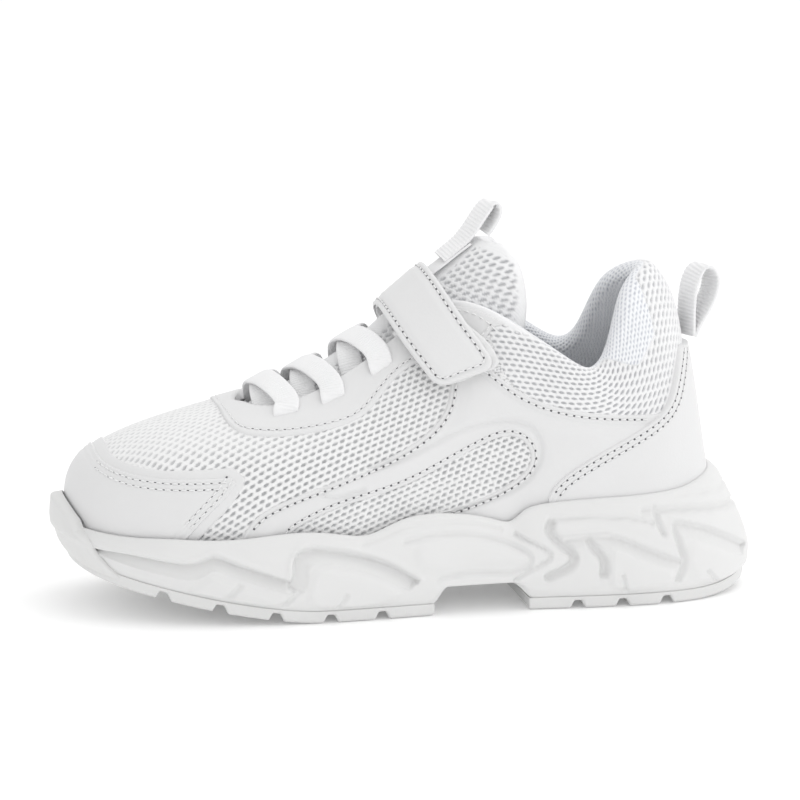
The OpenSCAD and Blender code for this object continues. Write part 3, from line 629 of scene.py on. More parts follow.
def build_vamp():
    cloth = ClothMap(skin, np.arange(-8.6, 8.61, 0.2), np.linspace(0.02, 1, 22), (1, 0, 0))

    def knit(p, d, u, v):
        # The openings also carry painted shade, drawn weaker on up-facing mesh where light falls into them; the same
        # value sets how deep they are sunk.
        facing_up = smooth(skin_normal(u, v)[:, 2], 0.35, 0.9)
        return holes(*cloth(np.where(u > N / 2, u - N, u), v), PITCH, SLANT) * mix(1, 0.45, facing_up)

    for side, tag in ((-1, "outer"), (1, "inner")):
        sheet("vamp_mesh_" + tag, half(side, 0.018), np.linspace(0.02, 1, 170), on_skin, "shoe", MESH, vamp_cut,
              lambda p, d, u, v: 0.15 - 0.75 * knit(p, d, u, v) * smooth(d, 0.3, 1.3), -0.9, knit, crease=0,
              replaces=("vamp_mesh",) if side < 0 else (), slot="mesh_white")


def layer(name, cut, top, us, vs, under=-0.5, mat=LEATHER, slot="leather_white"):
    """Sheet on the upper in place of the CAD node of its name."""
    sheet(name, us, vs, on_skin, "shoe", mat, cut, top, under, replaces=(name,), slot=slot)


def build_overlays():
    front = np.arange(-4.4, 4.4001, 0.022)

    def underlay(p, u, v):
        return np.minimum(inside(xz(p), UNDERLAY), above_rim(p))

    def cap(p, u, v):
        return np.minimum(inside(xz(p), TOE_CAP), above_rim(p))

    layer("toe_cap_underlay", underlay, lambda p, d, u, v: OVERLAY * rounded(d, 0.7) - 0.1,
          front, np.linspace(0.02, 0.9, 110))

    def cap_top(p, d, u, v):
        q = inside(xz(p), TOE_CAP)
        return SECOND * rounded(d, 0.8) - 0.15 - seam_grooves(q)

    layer("toe_cap", cap, cap_top, front, np.linspace(0.02, 0.9, 120))

    throat = np.arange(-7.4, 7.4001, 0.023)

    def eyestay(p, u, v):
        return np.minimum(inside(xz(p), EYESTAY), (1.0001 - v) * 66)

    def eye_top(p, d, u, v):
        q = inside(xz(p), EYESTAY)
        return (OVERLAY + 0.3) * rounded(d, 0.9) - 0.3 - trench(q, SINGLE_SEAM, 0.5, 0.2)

    layer("eyestay", eyestay, eye_top, throat, np.linspace(0.4, 1, 110), -2.9)

    for side, tag in ((-1, "lateral"), (1, "medial")):
        def panel(p, u, v):
            q = xz(p)
            return np.minimum.reduce([inside(q, PANEL), -inside(q, WINDOW), above_rim(p)])

        def panel_top(p, d, u, v):
            q = xz(p)
            edge = np.minimum(inside(q, PANEL), -inside(q, WINDOW))
            emboss = line_distance(q, EMBOSS)
            seam = line_distance(q, PANEL_TOP)
            puff = 0.5 * smooth(-inside(q, WINDOW), 3, 8) * smooth(inside(q, PANEL), 3, 8)
            return ((OVERLAY + 0.2) * rounded(d, 0.8) - 0.2 + puff - trench(edge, SINGLE_SEAM, 0.45, 0.2)
                    - trench(emboss, 0, 0.9, 0.85) - trench(seam, 3.4, 0.7, 0.35))

        layer("side_panel_" + tag, panel, panel_top, half(side, 0.022)[60:-20], np.linspace(0.02, 1, 130))

    def heel(p, u, v):
        return np.minimum.reduce([inside(xz(p), HEEL), above_rim(p), (1.0001 - v) * 60])

    def heel_top(p, d, u, v):
        q = line_distance(xz(p), HEEL_FRONT)
        return HEEL_H * rounded(d, 0.8) - 0.15 - seam_grooves(q)

    layer("heel_panel", heel, heel_top, np.arange(7, 15.0001, 0.025), np.linspace(0.02, 1, 120))

    board = (-1.9, BOARD, "stiffener_board")
    layer("heel_counter", lambda p, u, v: np.minimum(p[:, 0] - 60, 66 - p[:, 2]), -1.15,
          np.arange(7, 15, 0.1), np.linspace(0.02, 1, 30), *board)
    layer("toe_puff", lambda p, u, v: -90 - p[:, 0], -1.15, np.arange(-3, 3.01, 0.1),
          np.linspace(0.02, 0.7, 30), *board)
    patch = closed_curve([[9, 76], [18, 78], [23.5, 82], [21.5, 86], [13, 84.5], [7.5, 80.5]])
    layer("loop_tape", lambda p, u, v: inside(xz(p), patch), lambda p, d, u, v: 1.7 * rounded(d, 0.5) - 0.1,
          np.arange(4.8, 7.2, 0.02), np.linspace(0.6, 1, 80), mat=PILE, slot="loop_pile")
    root = np.array([[1.5, 82.5], [20.5, 90.5], [26, 77], [7, 70]])
    layer("strap_anchor", lambda p, u, v: inside(xz(p), root), lambda p, d, u, v: 1.7 * rounded(d, 0.7) - 0.1,
          np.arange(14.8, 17.4, 0.02), np.linspace(0.5, 1, 90))


# ---------------------------------------------------------------- collar and lining

OUT_LOW, ROLL_SEAM = 0.5, 0.62              # lower end of the pad on the rib, and its upper seam along w


def collar_path(u, w):
    """Point round the padded collar: w runs from the outer seam (0) over the top (0.55..0.75) and down inside (1)."""
    v_out = mix(OUT_LOW, 1.0, np.clip(w / 0.55, 0, 1))
    v_in = mix(1.0, 0.35, np.clip((w - 0.75) / 0.25, 0, 1))
    bulge = 1.1 * np.sin(np.pi * np.clip((v_out - 0.62) / 0.5, 0, 1)) * smooth(np.minimum(u, N - u), 7, 8.4)
    out = on_skin(u, v_out, bulge)
    inn = on_lining(u, v_in, 0 * u - 0.1)
    t = np.clip((w - 0.55) / 0.2, 0, 1) * np.pi
    a, b = out, on_lining(u, np.ones_like(u), 0 * u - 0.1)
    rise = unit(skin(u, np.ones_like(u)) - skin(u, np.full_like(u, 0.97)))
    lift = 0.42 * np.linalg.norm(a - b, axis=1) * np.sin(t)
    arc = mix(a, b, ((1 - np.cos(t)) / 2)[:, None]) + rise * lift[:, None]
    return np.where((w <= 0.55)[:, None], out, np.where((w >= 0.75)[:, None], inn, arc))


def on_collar(u, w, h):
    return raised(collar_path, u, w, h, 0.006, 0.006)


def roll_seam(u):
    """Where the fine lining meets the outer mesh; it comes further out round the front of the heel's ear."""
    side = np.minimum(u, N - u)
    return ROLL_SEAM - 0.25 * smooth(side, 8.9, 9.5) * (1 - smooth(side, 9.9, 10.3))


def build_collar():
    us = np.arange(5.62, 16.3801, 0.0235)
    cloth = ClothMap(collar_path, np.arange(5.6, 16.41, 0.15), np.linspace(0, 1, 41))

    def outer_cut(p, u, w):
        f = np.where(w > 0.5, 50, np.minimum(inside(xz(p), COLLAR_CUT) + 1, 2.4 - inside(xz(p), HEEL)))
        return np.minimum(f, (roll_seam(u) - w) * 90)

    # Openings of the knit, sunk into the pad and drawn as painted shade.
    def outer_knit(p, d, u, w):
        return holes(*cloth(u, w), PITCH, SLANT) * smooth(d, 0.5, 1.2)

    def outer_top(p, d, u, w):
        return 0.15 - 0.7 * outer_knit(p, d, u, w) - 0.4 * (1 - rounded(d, 1.2))

    pad = sheet("collar_mesh", us, np.linspace(0, 0.63, 132), on_collar, "shoe", COLLAR, outer_cut,
                outer_top, -1.0, outer_knit, crease=0, replaces=("collar_mesh", "collar_foam"), slot="mesh_collar")

    # Openings of the fine lining knit, sunk and drawn as painted shade.
    def fine(p, d, u, w):
        return holes(*cloth(u, w), (1.7, 1.25), SLANT, (0.32, 0.3)) * smooth(d, 0.4, 0.9)

    def fine_top(p, d, u, w):
        return 0.1 - 0.35 * fine(p, d, u, w) - 0.4 * (1 - rounded(d, 1.2))

    lining = sheet("collar_lining", np.arange(5.62, 16.3801, 0.024), np.linspace(0.34, 1, 150), on_collar,
                   "shoe", LINING, lambda p, u, w: (w - roll_seam(u)) * 90 + 0.2, fine_top, -0.8, fine,
                   crease=0, replaces=("collar_binding",), slot="lining_fabric")
    sheet("lining", np.arange(0, N + 0.01, 0.05), np.linspace(0.02, 0.985, 60), on_lining, "shoe", LINING,
          None, LINING_T, 0.05, crease=0, replaces=("lining",), slot="lining_fabric")
    # Folded edge of the ankle leather, in front of the padded collar
    for side in (-1, 1):
        u = np.linspace(5.1, 7.5, 90)
        out = mix(-0.1, -1.8, smooth(u, 6.7, 7.5))
        u = u if side < 0 else N - u
        path = on_skin(u, np.full(90, 1.0), out) + np.array([0, 0, 0.5])
        n = skin_normal(u, np.ones(90))
        up = unit(skin(u, np.ones(90)) - skin(u, np.full(90, 0.97)))
        band("topline_binding_" + ("outer" if side < 0 else "inner"), path[::-side],
             (up + 0.3 * n)[::-side], 2.6, 1.5, "shoe", WEBBING, slot="webbing_white")


# ---------------------------------------------------------------- bands: laces, webbing, stitches


def band(name, path, across, width, thick, body, mat, rib=0, pitch=1.0, sides=20, flat=2.6, **made):
    """Flat band with rounded edges along a path; across holds its width directions."""
    path = np.asarray(path, float)
    along = unit(np.gradient(path, axis=0))
    across = np.asarray(across, float)
    across = unit(across - along * (across * along).sum(1, keepdims=True))
    up = np.cross(along, across)
    s = run_length(path)
    t = np.linspace(0, 2 * np.pi, sides, endpoint=False)
    cx = np.sign(np.cos(t)) * np.abs(np.cos(t)) ** (2 / flat)
    cy = np.sign(np.sin(t)) * np.abs(np.sin(t)) ** (2 / flat)
    swell = 1 + rib * np.cos(2 * np.pi * s / pitch)
    rings = (path[:, None] + across[:, None] * (cx * width / 2)[None, :, None]
             + up[:, None] * (cy[None, :] * thick / 2 * swell[:, None])[..., None])
    return tube(name, rings, body, mat, **made)


def resample(path, step):
    s = run_length(path)
    t = np.arange(0, s[-1] + step / 2, step)
    return np.stack([np.interp(t, s, path[:, k]) for k in range(path.shape[1])], 1)


class Stitches:
    """Rows of thread with the needle holes between them, gathered into two meshes; the holes are small cones in
    near-black, painted shade.
    """

    def __init__(self):
        self.threads, self.pits = [], []

    def row(self, points, normals, pitch=2.7, height=0.0):
        both = resample(np.concatenate([points, normals], 1), 0.1)
        p, n = both[:, :3], unit(both[:, 3:])
        per = int(round(pitch / 0.1))
        for i in range(0, len(p) - per, per):
            k = np.linspace(i + 2, i + per - 4, 7).round().astype(int)
            lift = np.array([-0.25, 0.12, 0.26, 0.3, 0.26, 0.12, -0.25]) + height
            self.threads.append((p[k] + n[k] * lift[:, None], n[k]))
            self.pits.append((p[i] + n[i] * (height + 0.02), n[i], unit(p[i + 1] - p[i])))

    def on_side(self, line, side, h, pitch=2.7):
        line = resample(np.asarray(line, float), 1.0)
        u, v = locate(line, side)
        self.row(on_skin(u, v, np.full(len(u), h)), skin_normal(u, v), pitch)

    def build(self, name, body, slot):
        points, faces, count = [], [], 0
        for path, n in self.threads:
            along = unit(np.gradient(path, axis=0))
            side = np.cross(along, n)
            t = np.arange(6) * np.pi / 3
            rings = (path[:, None] + 0.27 * np.cos(t)[None, :, None] * side[:, None]
                     + 0.2 * np.sin(t)[None, :, None] * n[:, None]).reshape(-1, 3)
            points.append(rings)
            faces += (ring_quads(len(path), 6) + count).tolist() + [[count + k for k in range(5, -1, -1)],
                                             [count + (len(path) - 1) * 6 + k for k in range(6)]]
            count += len(rings)
        make(name, np.concatenate(points), faces, body, THREAD, slot=slot, crease=0)
        # Needle holes: small cones drawn near-black, painted shade.
        points, faces, count = [], [], 0
        t = np.arange(8) * np.pi / 4
        for c, n, a in self.pits:
            b = np.cross(n, a)
            for r, drop in ((0.36, 0), (0.2, -0.15)):
                points.append(c + r * (np.cos(t)[:, None] * a * 1.25 + np.sin(t)[:, None] * b) + drop * n)
            points.append((c - 0.3 * n)[None])
            faces += [[count + k, count + (k + 1) % 8, count + 8 + (k + 1) % 8, count + 8 + k] for k in range(8)]
            faces += [[count + 8 + k, count + 8 + (k + 1) % 8, count + 16] for k in range(8)]
            faces += [[count + k for k in range(7, -1, -1)]]
            count += 17
        make(name + "_shaded_holes", np.concatenate(points), [f[::-1] for f in faces], body, HOLE_SHADE, slot=slot, crease=0)


def build_stitches():
    st = Stitches()
    top_run = curve([[-104.5, 52], [-99.5, 50], [-93, 48.8], [-82, 48.2], [-70, 48.6], [-64, 49]])
    back_run = curve([[-62.5, 46.5], [-66, 42], [-72.5, 35.5], [-77, 30.5]])
    eye = curve([[-64.2, 67], [-61, 62.5], [-55, 61], [-44, 61], [-31, 62.8], [-20, 66], [-13, 72], [-6, 79], [2, 84],
                 [12, 87], [21, 89], [24.5, 91.5], [28, 95]])
    for side in (-1, 1):
        for d in DOUBLE_SEAM:
            st.on_side(offset_line(top_run, -d), side, SECOND - 0.35)
            st.on_side(offset_line(back_run, -d), side, SECOND - 0.35)
            st.on_side(offset_line(HEEL_FRONT[14:], -d), side, HEEL_H - 0.3)
        st.on_side(offset_line(eye, SINGLE_SEAM), side, OVERLAY - 0.2)
        st.on_side(offset_line(PANEL_FRONT[14:], -SINGLE_SEAM), side, OVERLAY + 0.1)
        st.on_side(offset_line(PANEL_TOP[4:52], -SINGLE_SEAM), side, OVERLAY - 0.1)
        st.on_side(curve([[12, 100.4], [19, 99.6], [24.5, 96.6], [29, 92.4]]), side, OVERLAY - 0.1)
        st.on_side(offset_line(WINDOW[:96], SINGLE_SEAM), side, OVERLAY - 0.1)
    st.build("stitching", "shoe", "leather_white")


# ---------------------------------------------------------------- tongue

TONGUE_GAP = VAMP_WALL + 1.2 + 2.4


def throat_row(u, v, crown_x, crown_z):
    rows = []
    for side in (-1, 1):
        k = np.array([float(other_side(u, side))])
        rows.append([on_skin(k, np.array([v]), [-TONGUE_GAP])[0], on_skin(k, np.array([1.0]), [-TONGUE_GAP])[0],
                     np.array([crown_x, 0, crown_z])])
    return rows


def free_row(wing, crown):
    return [[np.array([wing[0], s * wing[1], wing[2]]),
             np.array([mix(crown[0], wing[0], 0.32), s * 0.76 * wing[1], mix(crown[1], wing[2], 0.3)]),
             np.array([crown[0], 0, crown[1]])] for s in (-1, 1)]


TONGUE_ROWS = [
    free_row([-55, 11, 61.5], [-58, 63]), throat_row(2.75, 0.9, -46.5, 71), throat_row(3.7, 0.88, -31, 79.5),
    throat_row(4.75, 0.9, -12, 92.5), free_row([23, 16.5, 80], [2, 104.5]), free_row([39, 16.3, 90], [12, 112]),
    free_row([38.5, 15.5, 112], [20.5, 118.3]), free_row([33.5, 11.5, 121.5], [27, 122.5])]
TONGUE_CTRL = np.array([open_ctrl([r[0][0], r[0][1], r[0][2], r[1][1], r[1][0]]) for r in TONGUE_ROWS])
TONGUE_ALL = open_ctrl(TONGUE_CTRL)


def tongue_base(s, t):
    rows = open_at(TONGUE_ALL, s)              # (n, 7, 3)
    t = np.clip(t, 0, 4)
    i = np.minimum(np.floor(t).astype(int), 3)
    w = weights(t - i)
    k = np.arange(len(s))
    return sum(w[j][:, None] * rows[k, i + j] for j in range(4))


def on_tongue(s, t, h):
    return raised(tongue_base, s, t, h, 0.03, 0.03)


def build_tongue():
    thick = 6.0

    def cut(p, s, t):
        across = np.minimum(t, 4 - t) * 9
        corner = np.where(s > 5.6, np.hypot(np.maximum(5.5 - across, 0), np.maximum(5.5 - (7 - s) * 9, 0)), 0)
        return np.minimum(np.minimum(across, (7 - s) * 9), 5.5 - corner) + 0.001

    def edge(d):
        return thick / 2 * (1 - rounded(d, thick / 2))

    # Openings of the tongue's mesh, sunk into the pad and drawn as painted shade.
    def pattern(p, d, s, t):
        g = holes(0.45 * p[:, 0] + 0.9 * np.abs(p[:, 1]), p[:, 2], PITCH, math.radians(24))
        return g * (1 - smooth(s, 6.25, 6.4)) * smooth(np.abs(p[:, 1]), 5.8, 6.6) * smooth(d, 1.2, 2.4)

    def top(p, d, s, t):
        pillow = 0.9 * rounded(d, 9)
        return -edge(d) + pillow - 0.65 * pattern(p, d, s, t)

    pad = sheet("tongue", np.linspace(0, 7, 330), np.linspace(0, 4, 150), on_tongue, "tongue", COLLAR, cut, top,
                lambda p, d, s, t: -thick + edge(d), pattern, crease=0,
                replaces=("tongue_mesh", "tongue_foam", "tongue_lining"), slot="mesh_collar")
    s = np.linspace(3.4, 6.35, 120)
    path = on_tongue(s, np.full(120, 2.0), np.full(120, 1.1))
    band("tongue_strip", path, np.tile([0, 1.0, 0], (120, 1)), 13, 0.9, "tongue", WEBBING,
         slot="webbing_white", flat=5)


# ---------------------------------------------------------------- laces

SLOT_U, SLOT_V = (3.25, 4.0, 4.8), (0.89, 0.86, 0.87)


def build_laces():
    over_h, under_h = 2.25, -VAMP_WALL - 1.4
    for k in range(3):
        for side in (-1, 1):
            u0, u1 = other_side(SLOT_U[k] - 0.45, -side), other_side(SLOT_U[k], side)

            def at(u, v, h):
                return on_skin(np.array([u]), np.array([v]), [h])[0]
            a, b = at(u0, 1.0, under_h), at(u1, 1.0, over_h)
            rise = 7.6 if side < 0 else 5.8
            c = mix(at(u0, 1.0, 0), at(u1, 1.0, 0), 0.5) + rise * np.array([-0.5, 0, 0.87])
            path = [at(u0, 0.93, under_h), a, mix(mix(a, c, 0.5), c + (c - b) * 0.5, 0.35), c,
                    mix(mix(b, c, 0.5), c + (c - a) * 0.5, 0.3), b, at(u1, SLOT_V[k] + 0.035, over_h - 0.4),
                    at(u1, SLOT_V[k] + 0.008, 0.6), at(u1, SLOT_V[k], -1.5)]
            ea = -side * unit(at(u0 - side * 0.1, 1, 0) - at(u0 + side * 0.1, 1, 0))
            eb = -side * unit(at(u1 + 0.1, SLOT_V[k], 0) - at(u1 - 0.1, SLOT_V[k], 0))
            m = np.array([0.86, 0, 0.5])
            ea, eb = ea * np.sign(ea @ m), eb * np.sign(eb @ m)
            across = [ea, ea, mix(ea, m, 0.5), m, mix(m, eb, 0.4), eb, eb, eb, eb]
            both = resample(curve(np.concatenate([path, across], 1), 12), 0.22)
            name = "lace_%d_%s" % (k + 1, "outer" if side < 0 else "inner")
            band(name, both[:, :3], both[:, 3:], 8.2, 1.5, "shoe", ELASTIC, 0.14, 1.05, 24, 3.2,
                               slot="elastic_white", crease=0)
    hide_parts("elastic_lace")


# ---------------------------------------------------------------- pull loops


LOOP_TURN = math.radians(14)


def webbing(name, path, body):
    """Ribbed loop along [x, z] points in the middle plane, in place of the CAD node of its name."""
    both = resample(curve([[x, 0.0, z] for x, z in path], 14), 0.25)
    a = np.array([-math.sin(LOOP_TURN), math.cos(LOOP_TURN), 0])
    band(name, both, np.tile(a, (len(both), 1)), 12, 1.5, body, WEBBING, 0.22, 1.3, 28, 4.5,
         replaces=(name,), slot="webbing_white", crease=0)


def build_loops():
    webbing("tongue_pull_loop", [(13.0, 115.6), (16.5, 118.6), (21.1, 122.4), (25.2, 128.2), (28.8, 133.2),
                                 (31, 133.6), (31.4, 130.4), (28.9, 126), (27.6, 124.3)], "tongue_loop")
    webbing("heel_pull_loop", [(99.6, 86.8), (99.5, 95), (100, 102), (101.4, 107.3), (103.7, 110.2),
                               (106.2, 110), (107.8, 107.2), (107.7, 103), (105.4, 96.9), (102.3, 91.7),
                               (100.2, 87.1)], "heel_loop")


# ---------------------------------------------------------------- strap

STRAP_LOW = open_ctrl([[5.8, -33.3, 76.5], [2, -30.6, 82.2], [-3, -25, 90], [-7, -17, 97.3], [-9, 0, 101],
                       [-7, 17, 97.3], [-3, 25, 90], [1, 29.5, 83.5]])
STRAP_HIGH = open_ctrl([[26.5, -33.3, 83], [21.5, -30.3, 90.5], [15, -26.4, 98.6], [9.5, -18.5, 107.5], [6, 0, 114.6],
                        [9.5, 18.5, 107.5], [15, 25.6, 98.6], [20, 28.3, 91.5]])
STRAP_W = 21.5


def strap_base(s, t):
    """Point of the strap at station s along it and t millimetres across it."""
    a, b = open_at(STRAP_LOW, s), open_at(STRAP_HIGH, s)
    return (a + b) / 2 - unit(b - a) * t[:, None]


def on_strap(s, t, h):
    return raised(strap_base, s, t, h, 0.02, 1)


def strap_run(s):
    k = np.linspace(0, 7, 200)
    p = strap_base(k, np.zeros(200))
    return np.interp(s, k, run_length(p))


def corner_distance(x, y, r):
    """Distance inside a corner of radius r, from the distances x and y inside its two edges."""
    near = np.hypot(np.maximum(r - x, 0), np.maximum(r - y, 0))
    return np.where((x < r) & (y < r), r - near, np.minimum(x, y))


def build_strap():
    across = np.linspace(-STRAP_W / 2, STRAP_W / 2, 60)
    stations = np.linspace(0, 7, 320)

    def cover_cut(p, s, t):
        return corner_distance(strap_run(s) + 0.001, STRAP_W / 2 + 0.001 - np.abs(t), 4.5)

    def top(p, d, s, t):
        return 0.9 * rounded(d, 0.9) - 0.9 - trench(d, 2.1, 0.5, 0.3) + 0.35 * smooth(d, 2.4, 5)

    sheet("strap_cover", stations, across, on_strap, "strap", LEATHER, cover_cut, top, -1.15,
          replaces=("strap_cover",), slot="leather_white", crease=50)

    def crumple(p, d, s, t):
        fold = 0.35 * np.sin(strap_run(s) * 1.3 + t * 0.5) * (1 - smooth(strap_run(s), 4, 14))
        return -1.3 - 0.5 * (1 - rounded(d, 1.0)) + fold * smooth(-t, 7, 10)

    def backing_cut(p, s, t):
        spare = -0.4 + 2.6 * (1 - smooth(strap_run(s), 7, 20)) * (t < 0)
        return corner_distance(strap_run(s) + 0.001, STRAP_W / 2 + spare - np.abs(t), 4)

    sheet("strap_backing", stations, np.linspace(-STRAP_W / 2 - 2.6, STRAP_W / 2 - 0.4, 70), on_strap,
          "strap", LEATHER, backing_cut, crumple, lambda p, d, s, t: -2.4 + 0.5 * (1 - rounded(d, 0.8)),
          replaces=("strap_backing",), slot="leather_white", crease=50)
    sheet("hook_tape", np.linspace(0.45, 2.4, 60), np.linspace(-8, 8, 40), on_strap, "strap", HOOKS, None,
          -2.45, -3.1, replaces=("hook_tape",), slot="hook_plastic")
    st = Stitches()
    edge, corner = STRAP_W / 2 - 2.1, np.linspace(0, np.pi / 2, 12)
    low, high = np.linspace(6.9, 0.66, 200), np.linspace(0.66, 6.9, 200)
    end = np.linspace(edge - 2.4, -edge + 2.4, 40)
    s = np.concatenate([low, 0.66 - 0.34 * np.sin(corner), np.full(40, 0.32), 0.66 - 0.34 * np.cos(corner), high])
    t = np.concatenate([np.full(200, edge), edge - 2.4 * (1 - np.cos(corner)), end,
                        -edge + 2.4 * (1 - np.sin(corner)), np.full(200, -edge)])
    p = on_strap(s, t, np.full(len(s), -0.1))
    n = unit(on_strap(s, t, np.full(len(s), 1.0)) - on_strap(s, t, np.zeros(len(s))))
    st.row(p, n, 2.7)
    st.build("strap_stitching", "strap", "leather_white")


# ---------------------------------------------------------------- sole

OUTLINE = loop_ctrl([
    [-117, 4], [-109, -25], [-88, -39], [-58, -46], [-28, -45.5], [2, -41.5], [27, -38.5], [46, -38.5], [64, -39],
    [89, -36.5], [112, -24], [122, 0], [112, 24], [89, 36], [64, 36], [46, 33.5], [27, 32], [2, 34.5], [-28, 41],
    [-58, 46.5], [-88, 43], [-109, 30]])
BED = loop_ctrl([20, 18.3, 17, 16, 16, 18, 20, 21, 22, 22.9, 23, 23, 23, 22.9, 22, 21, 20, 18, 16, 16, 17, 18.3])
OUTSOLE_T, GROOVE_DEPTH, CUP_OFF = 3.8, 2.6, 2.05


def ground(x):
    return 11.3 * (np.maximum(0, -35 - x) / 63) ** 1.46 + 2.2 * (np.maximum(0, x - 94) / 20) ** 2


def arch(x):
    return 5.6 * smooth(x, 3, 9) * (1 - smooth(x, 31, 39))


def right_of(t):
    """Level unit vectors to the right of the tangents t."""
    return unit(np.stack([t[:, 1], -t[:, 0], 0 * t[:, 0]], 1))


def outward(ring):
    return right_of(np.roll(ring, -1, 0) - np.roll(ring, 1, 0))


def plan_ring(u, d, z):
    p = np.concatenate([loop_at(OUTLINE, u), np.zeros((len(u), 1))], 1)
    q = p + d * outward(p)
    q[:, 2] = z + ground(q[:, 0])
    return q


def skin_ring(u, z):
    """Where the upper's skin reaches height z."""
    r = loop_at(RIBS, u)
    lo, hi = np.zeros(len(u)), np.full(len(u), 0.7)
    for _ in range(18):
        c = (lo + hi) / 2
        below = bezier(r, c)[:, 2] < z
        lo, hi = np.where(below, c, lo), np.where(below, hi, c)
    return bezier(r, lo)


# Carved lines of the side wall, seen from the side: [x, z] points, half width, depth
CARVED = [
    ([[-70, 6.5], [-62.3, 14]], 1.3, 0.9),
    ([[-49, 5.5], [-43.4, 11.4]], 1.3, 0.9),
    ([[-30.5, 4.5], [-27, 9.5]], 1.2, 0.8),
    ([[-6.3, 25.9], [2, 27.4], [12.5, 27.4], [24.7, 25], [33.3, 21.5], [37.5, 17.6], [32.7, 14], [24.7, 13.7],
      [14.2, 14.3], [5.5, 12.9]], 1.3, 0.9),
    ([[-21, 25.5], [-13, 28.5], [-5, 30.6], [6, 31.3], [18, 30.3], [27, 28]], 1.0, 0.5),
    ([[31.9, 26.4], [38.4, 22.7], [44.7, 18.7], [38.5, 15.1], [31.7, 10.9]], 1.0, 1.0),
    ([[44.5, 29.8], [43.2, 27.4], [47, 22.7], [52, 18.4], [49.1, 14.2], [43, 11.5]], 2.2, 2.6),
    ([[57, 23.6], [58.8, 20.6], [62.2, 16.7], [61.9, 11.9]], 2.2, 2.4),
    ([[44.2, 31], [60.7, 31], [71.9, 30.3], [79, 28.3]], 1.1, 0.8),
    ([[80, 33], [81.5, 28.1], [83.3, 24.5]], 1.5, 1.5),
    ([[87.6, 25.6], [89.1, 20.4], [90.8, 14.2], [88.5, 8.3]], 1.7, 1.7),
    ([[68.5, 11.2], [70.8, 3]], 1.1, 0.9),
    ([[99.8, 10], [104.8, 4.5]], 1.1, 0.9),
    ([[62, 36.2], [81.7, 36.5], [96.9, 36.3], [105.9, 36.2], [116, 37]], 1.0, 0.6),
    ([[76, 32.6], [92.9, 31.8], [108.5, 30.3], [120, 29.5]], 1.6, 1.3)]
# Channels: their sharp upper lip, their soft lower lip and the depth under the upper one
CHANNELS = [
    ([[-110.5, 24.6], [-98.9, 24.2], [-89.6, 22.8], [-80, 21.6], [-74.2, 23.2], [-70.3, 24.4], [-64.8, 22.2],
      [-55.8, 19], [-46, 15.5]],
     [[-110.5, 23.8], [-97.4, 20.1], [-88.1, 18], [-78.4, 16.2], [-73.6, 18], [-70.3, 19.6], [-64.9, 17.8],
      [-56.5, 14.6], [-44.1, 10.8]], 3.2),
    ([[-46.8, 13], [-45.2, 17], [-45.2, 21.5], [-42.6, 25.3], [-37, 26.2], [-27, 24.6], [-17.5, 21.8], [-9.5, 18.2],
      [-1.5, 13]],
     [[-41.5, 11], [-39.6, 16], [-39.8, 19], [-38.6, 20.4], [-36, 21], [-28, 19.6], [-20, 17.2],
      [-12.7, 14], [-5, 10]], 3.0),
    ([[46, 24.5], [58, 25.4], [66, 24.8], [74, 21.6], [83, 17.6], [90, 15]],
     [[48, 22], [56.5, 22.4], [64, 21.4], [72, 18.2], [81, 14.2], [89, 12.5]], 1.8),
    ([[86.5, 28.6], [97, 26], [107.5, 21.4], [117, 16]], [[88, 24], [96, 21.6], [106, 17], [115, 12.6]], 1.7)]
# Raised facets: outline, height and width of the slope
RAISED = [
    ([[-83, 9], [-74, 16.8], [-70.3, 18.6], [-62, 15.2], [-52, 11.4], [-46, 9.5], [-52, 4.5], [-72, 5.5]], 0.8, 3),
    ([[-38, 20], [-28, 18.6], [-17, 15.4], [-8, 10.6], [-12, 4.5], [-38, 4.5], [-40, 12]], 0.9, 3),
    ([[-4, 24.8], [2, 26.3], [12.5, 26.3], [24.7, 24], [32.3, 20.8], [35.5, 17.6], [31.7, 15], [24.7, 14.7],
      [14.2, 15.3], [5.5, 14], [-3, 17]], 0.8, 4),
    ([[64, 22], [73, 18.8], [82, 14.5], [87, 12.5], [86, 6], [66, 5], [63.5, 12]], 0.9, 3),
    ([[92, 23], [107, 17.5], [120, 12], [118, 4], [93, 5]], 0.9, 4)]


def side_relief(p):
    q = xz(p)
    out = np.zeros(len(p))
    for line, w, depth in CARVED:
        d = line_distance(q, curve(line, 5))
        out = np.minimum(out, -depth * (1 - smooth(d, 0.15 * w, w)))
    for upper, lower, depth in CHANNELS:
        a, b = curve(upper, 5), curve(lower, 5)
        da, db = line_distance(q, a), line_distance(q, b)
        within = inside(q, np.concatenate([a, b[::-1]])) > 0
        cut = depth * smooth(da, 0, 0.9) * (1 - da / (da + db + 1e-3)) ** 0.8
        lip = 0.5 * np.exp(-((da - 0.5) / 0.9) ** 2) + 0.25 * np.exp(-(db / 0.9) ** 2)
        out = np.where(within, np.minimum(out, -cut), out + lip)
    for line, high, slope in RAISED:
        out = out + high * smooth(inside(q, closed_curve(line, 4)), 0, slope)
    return out


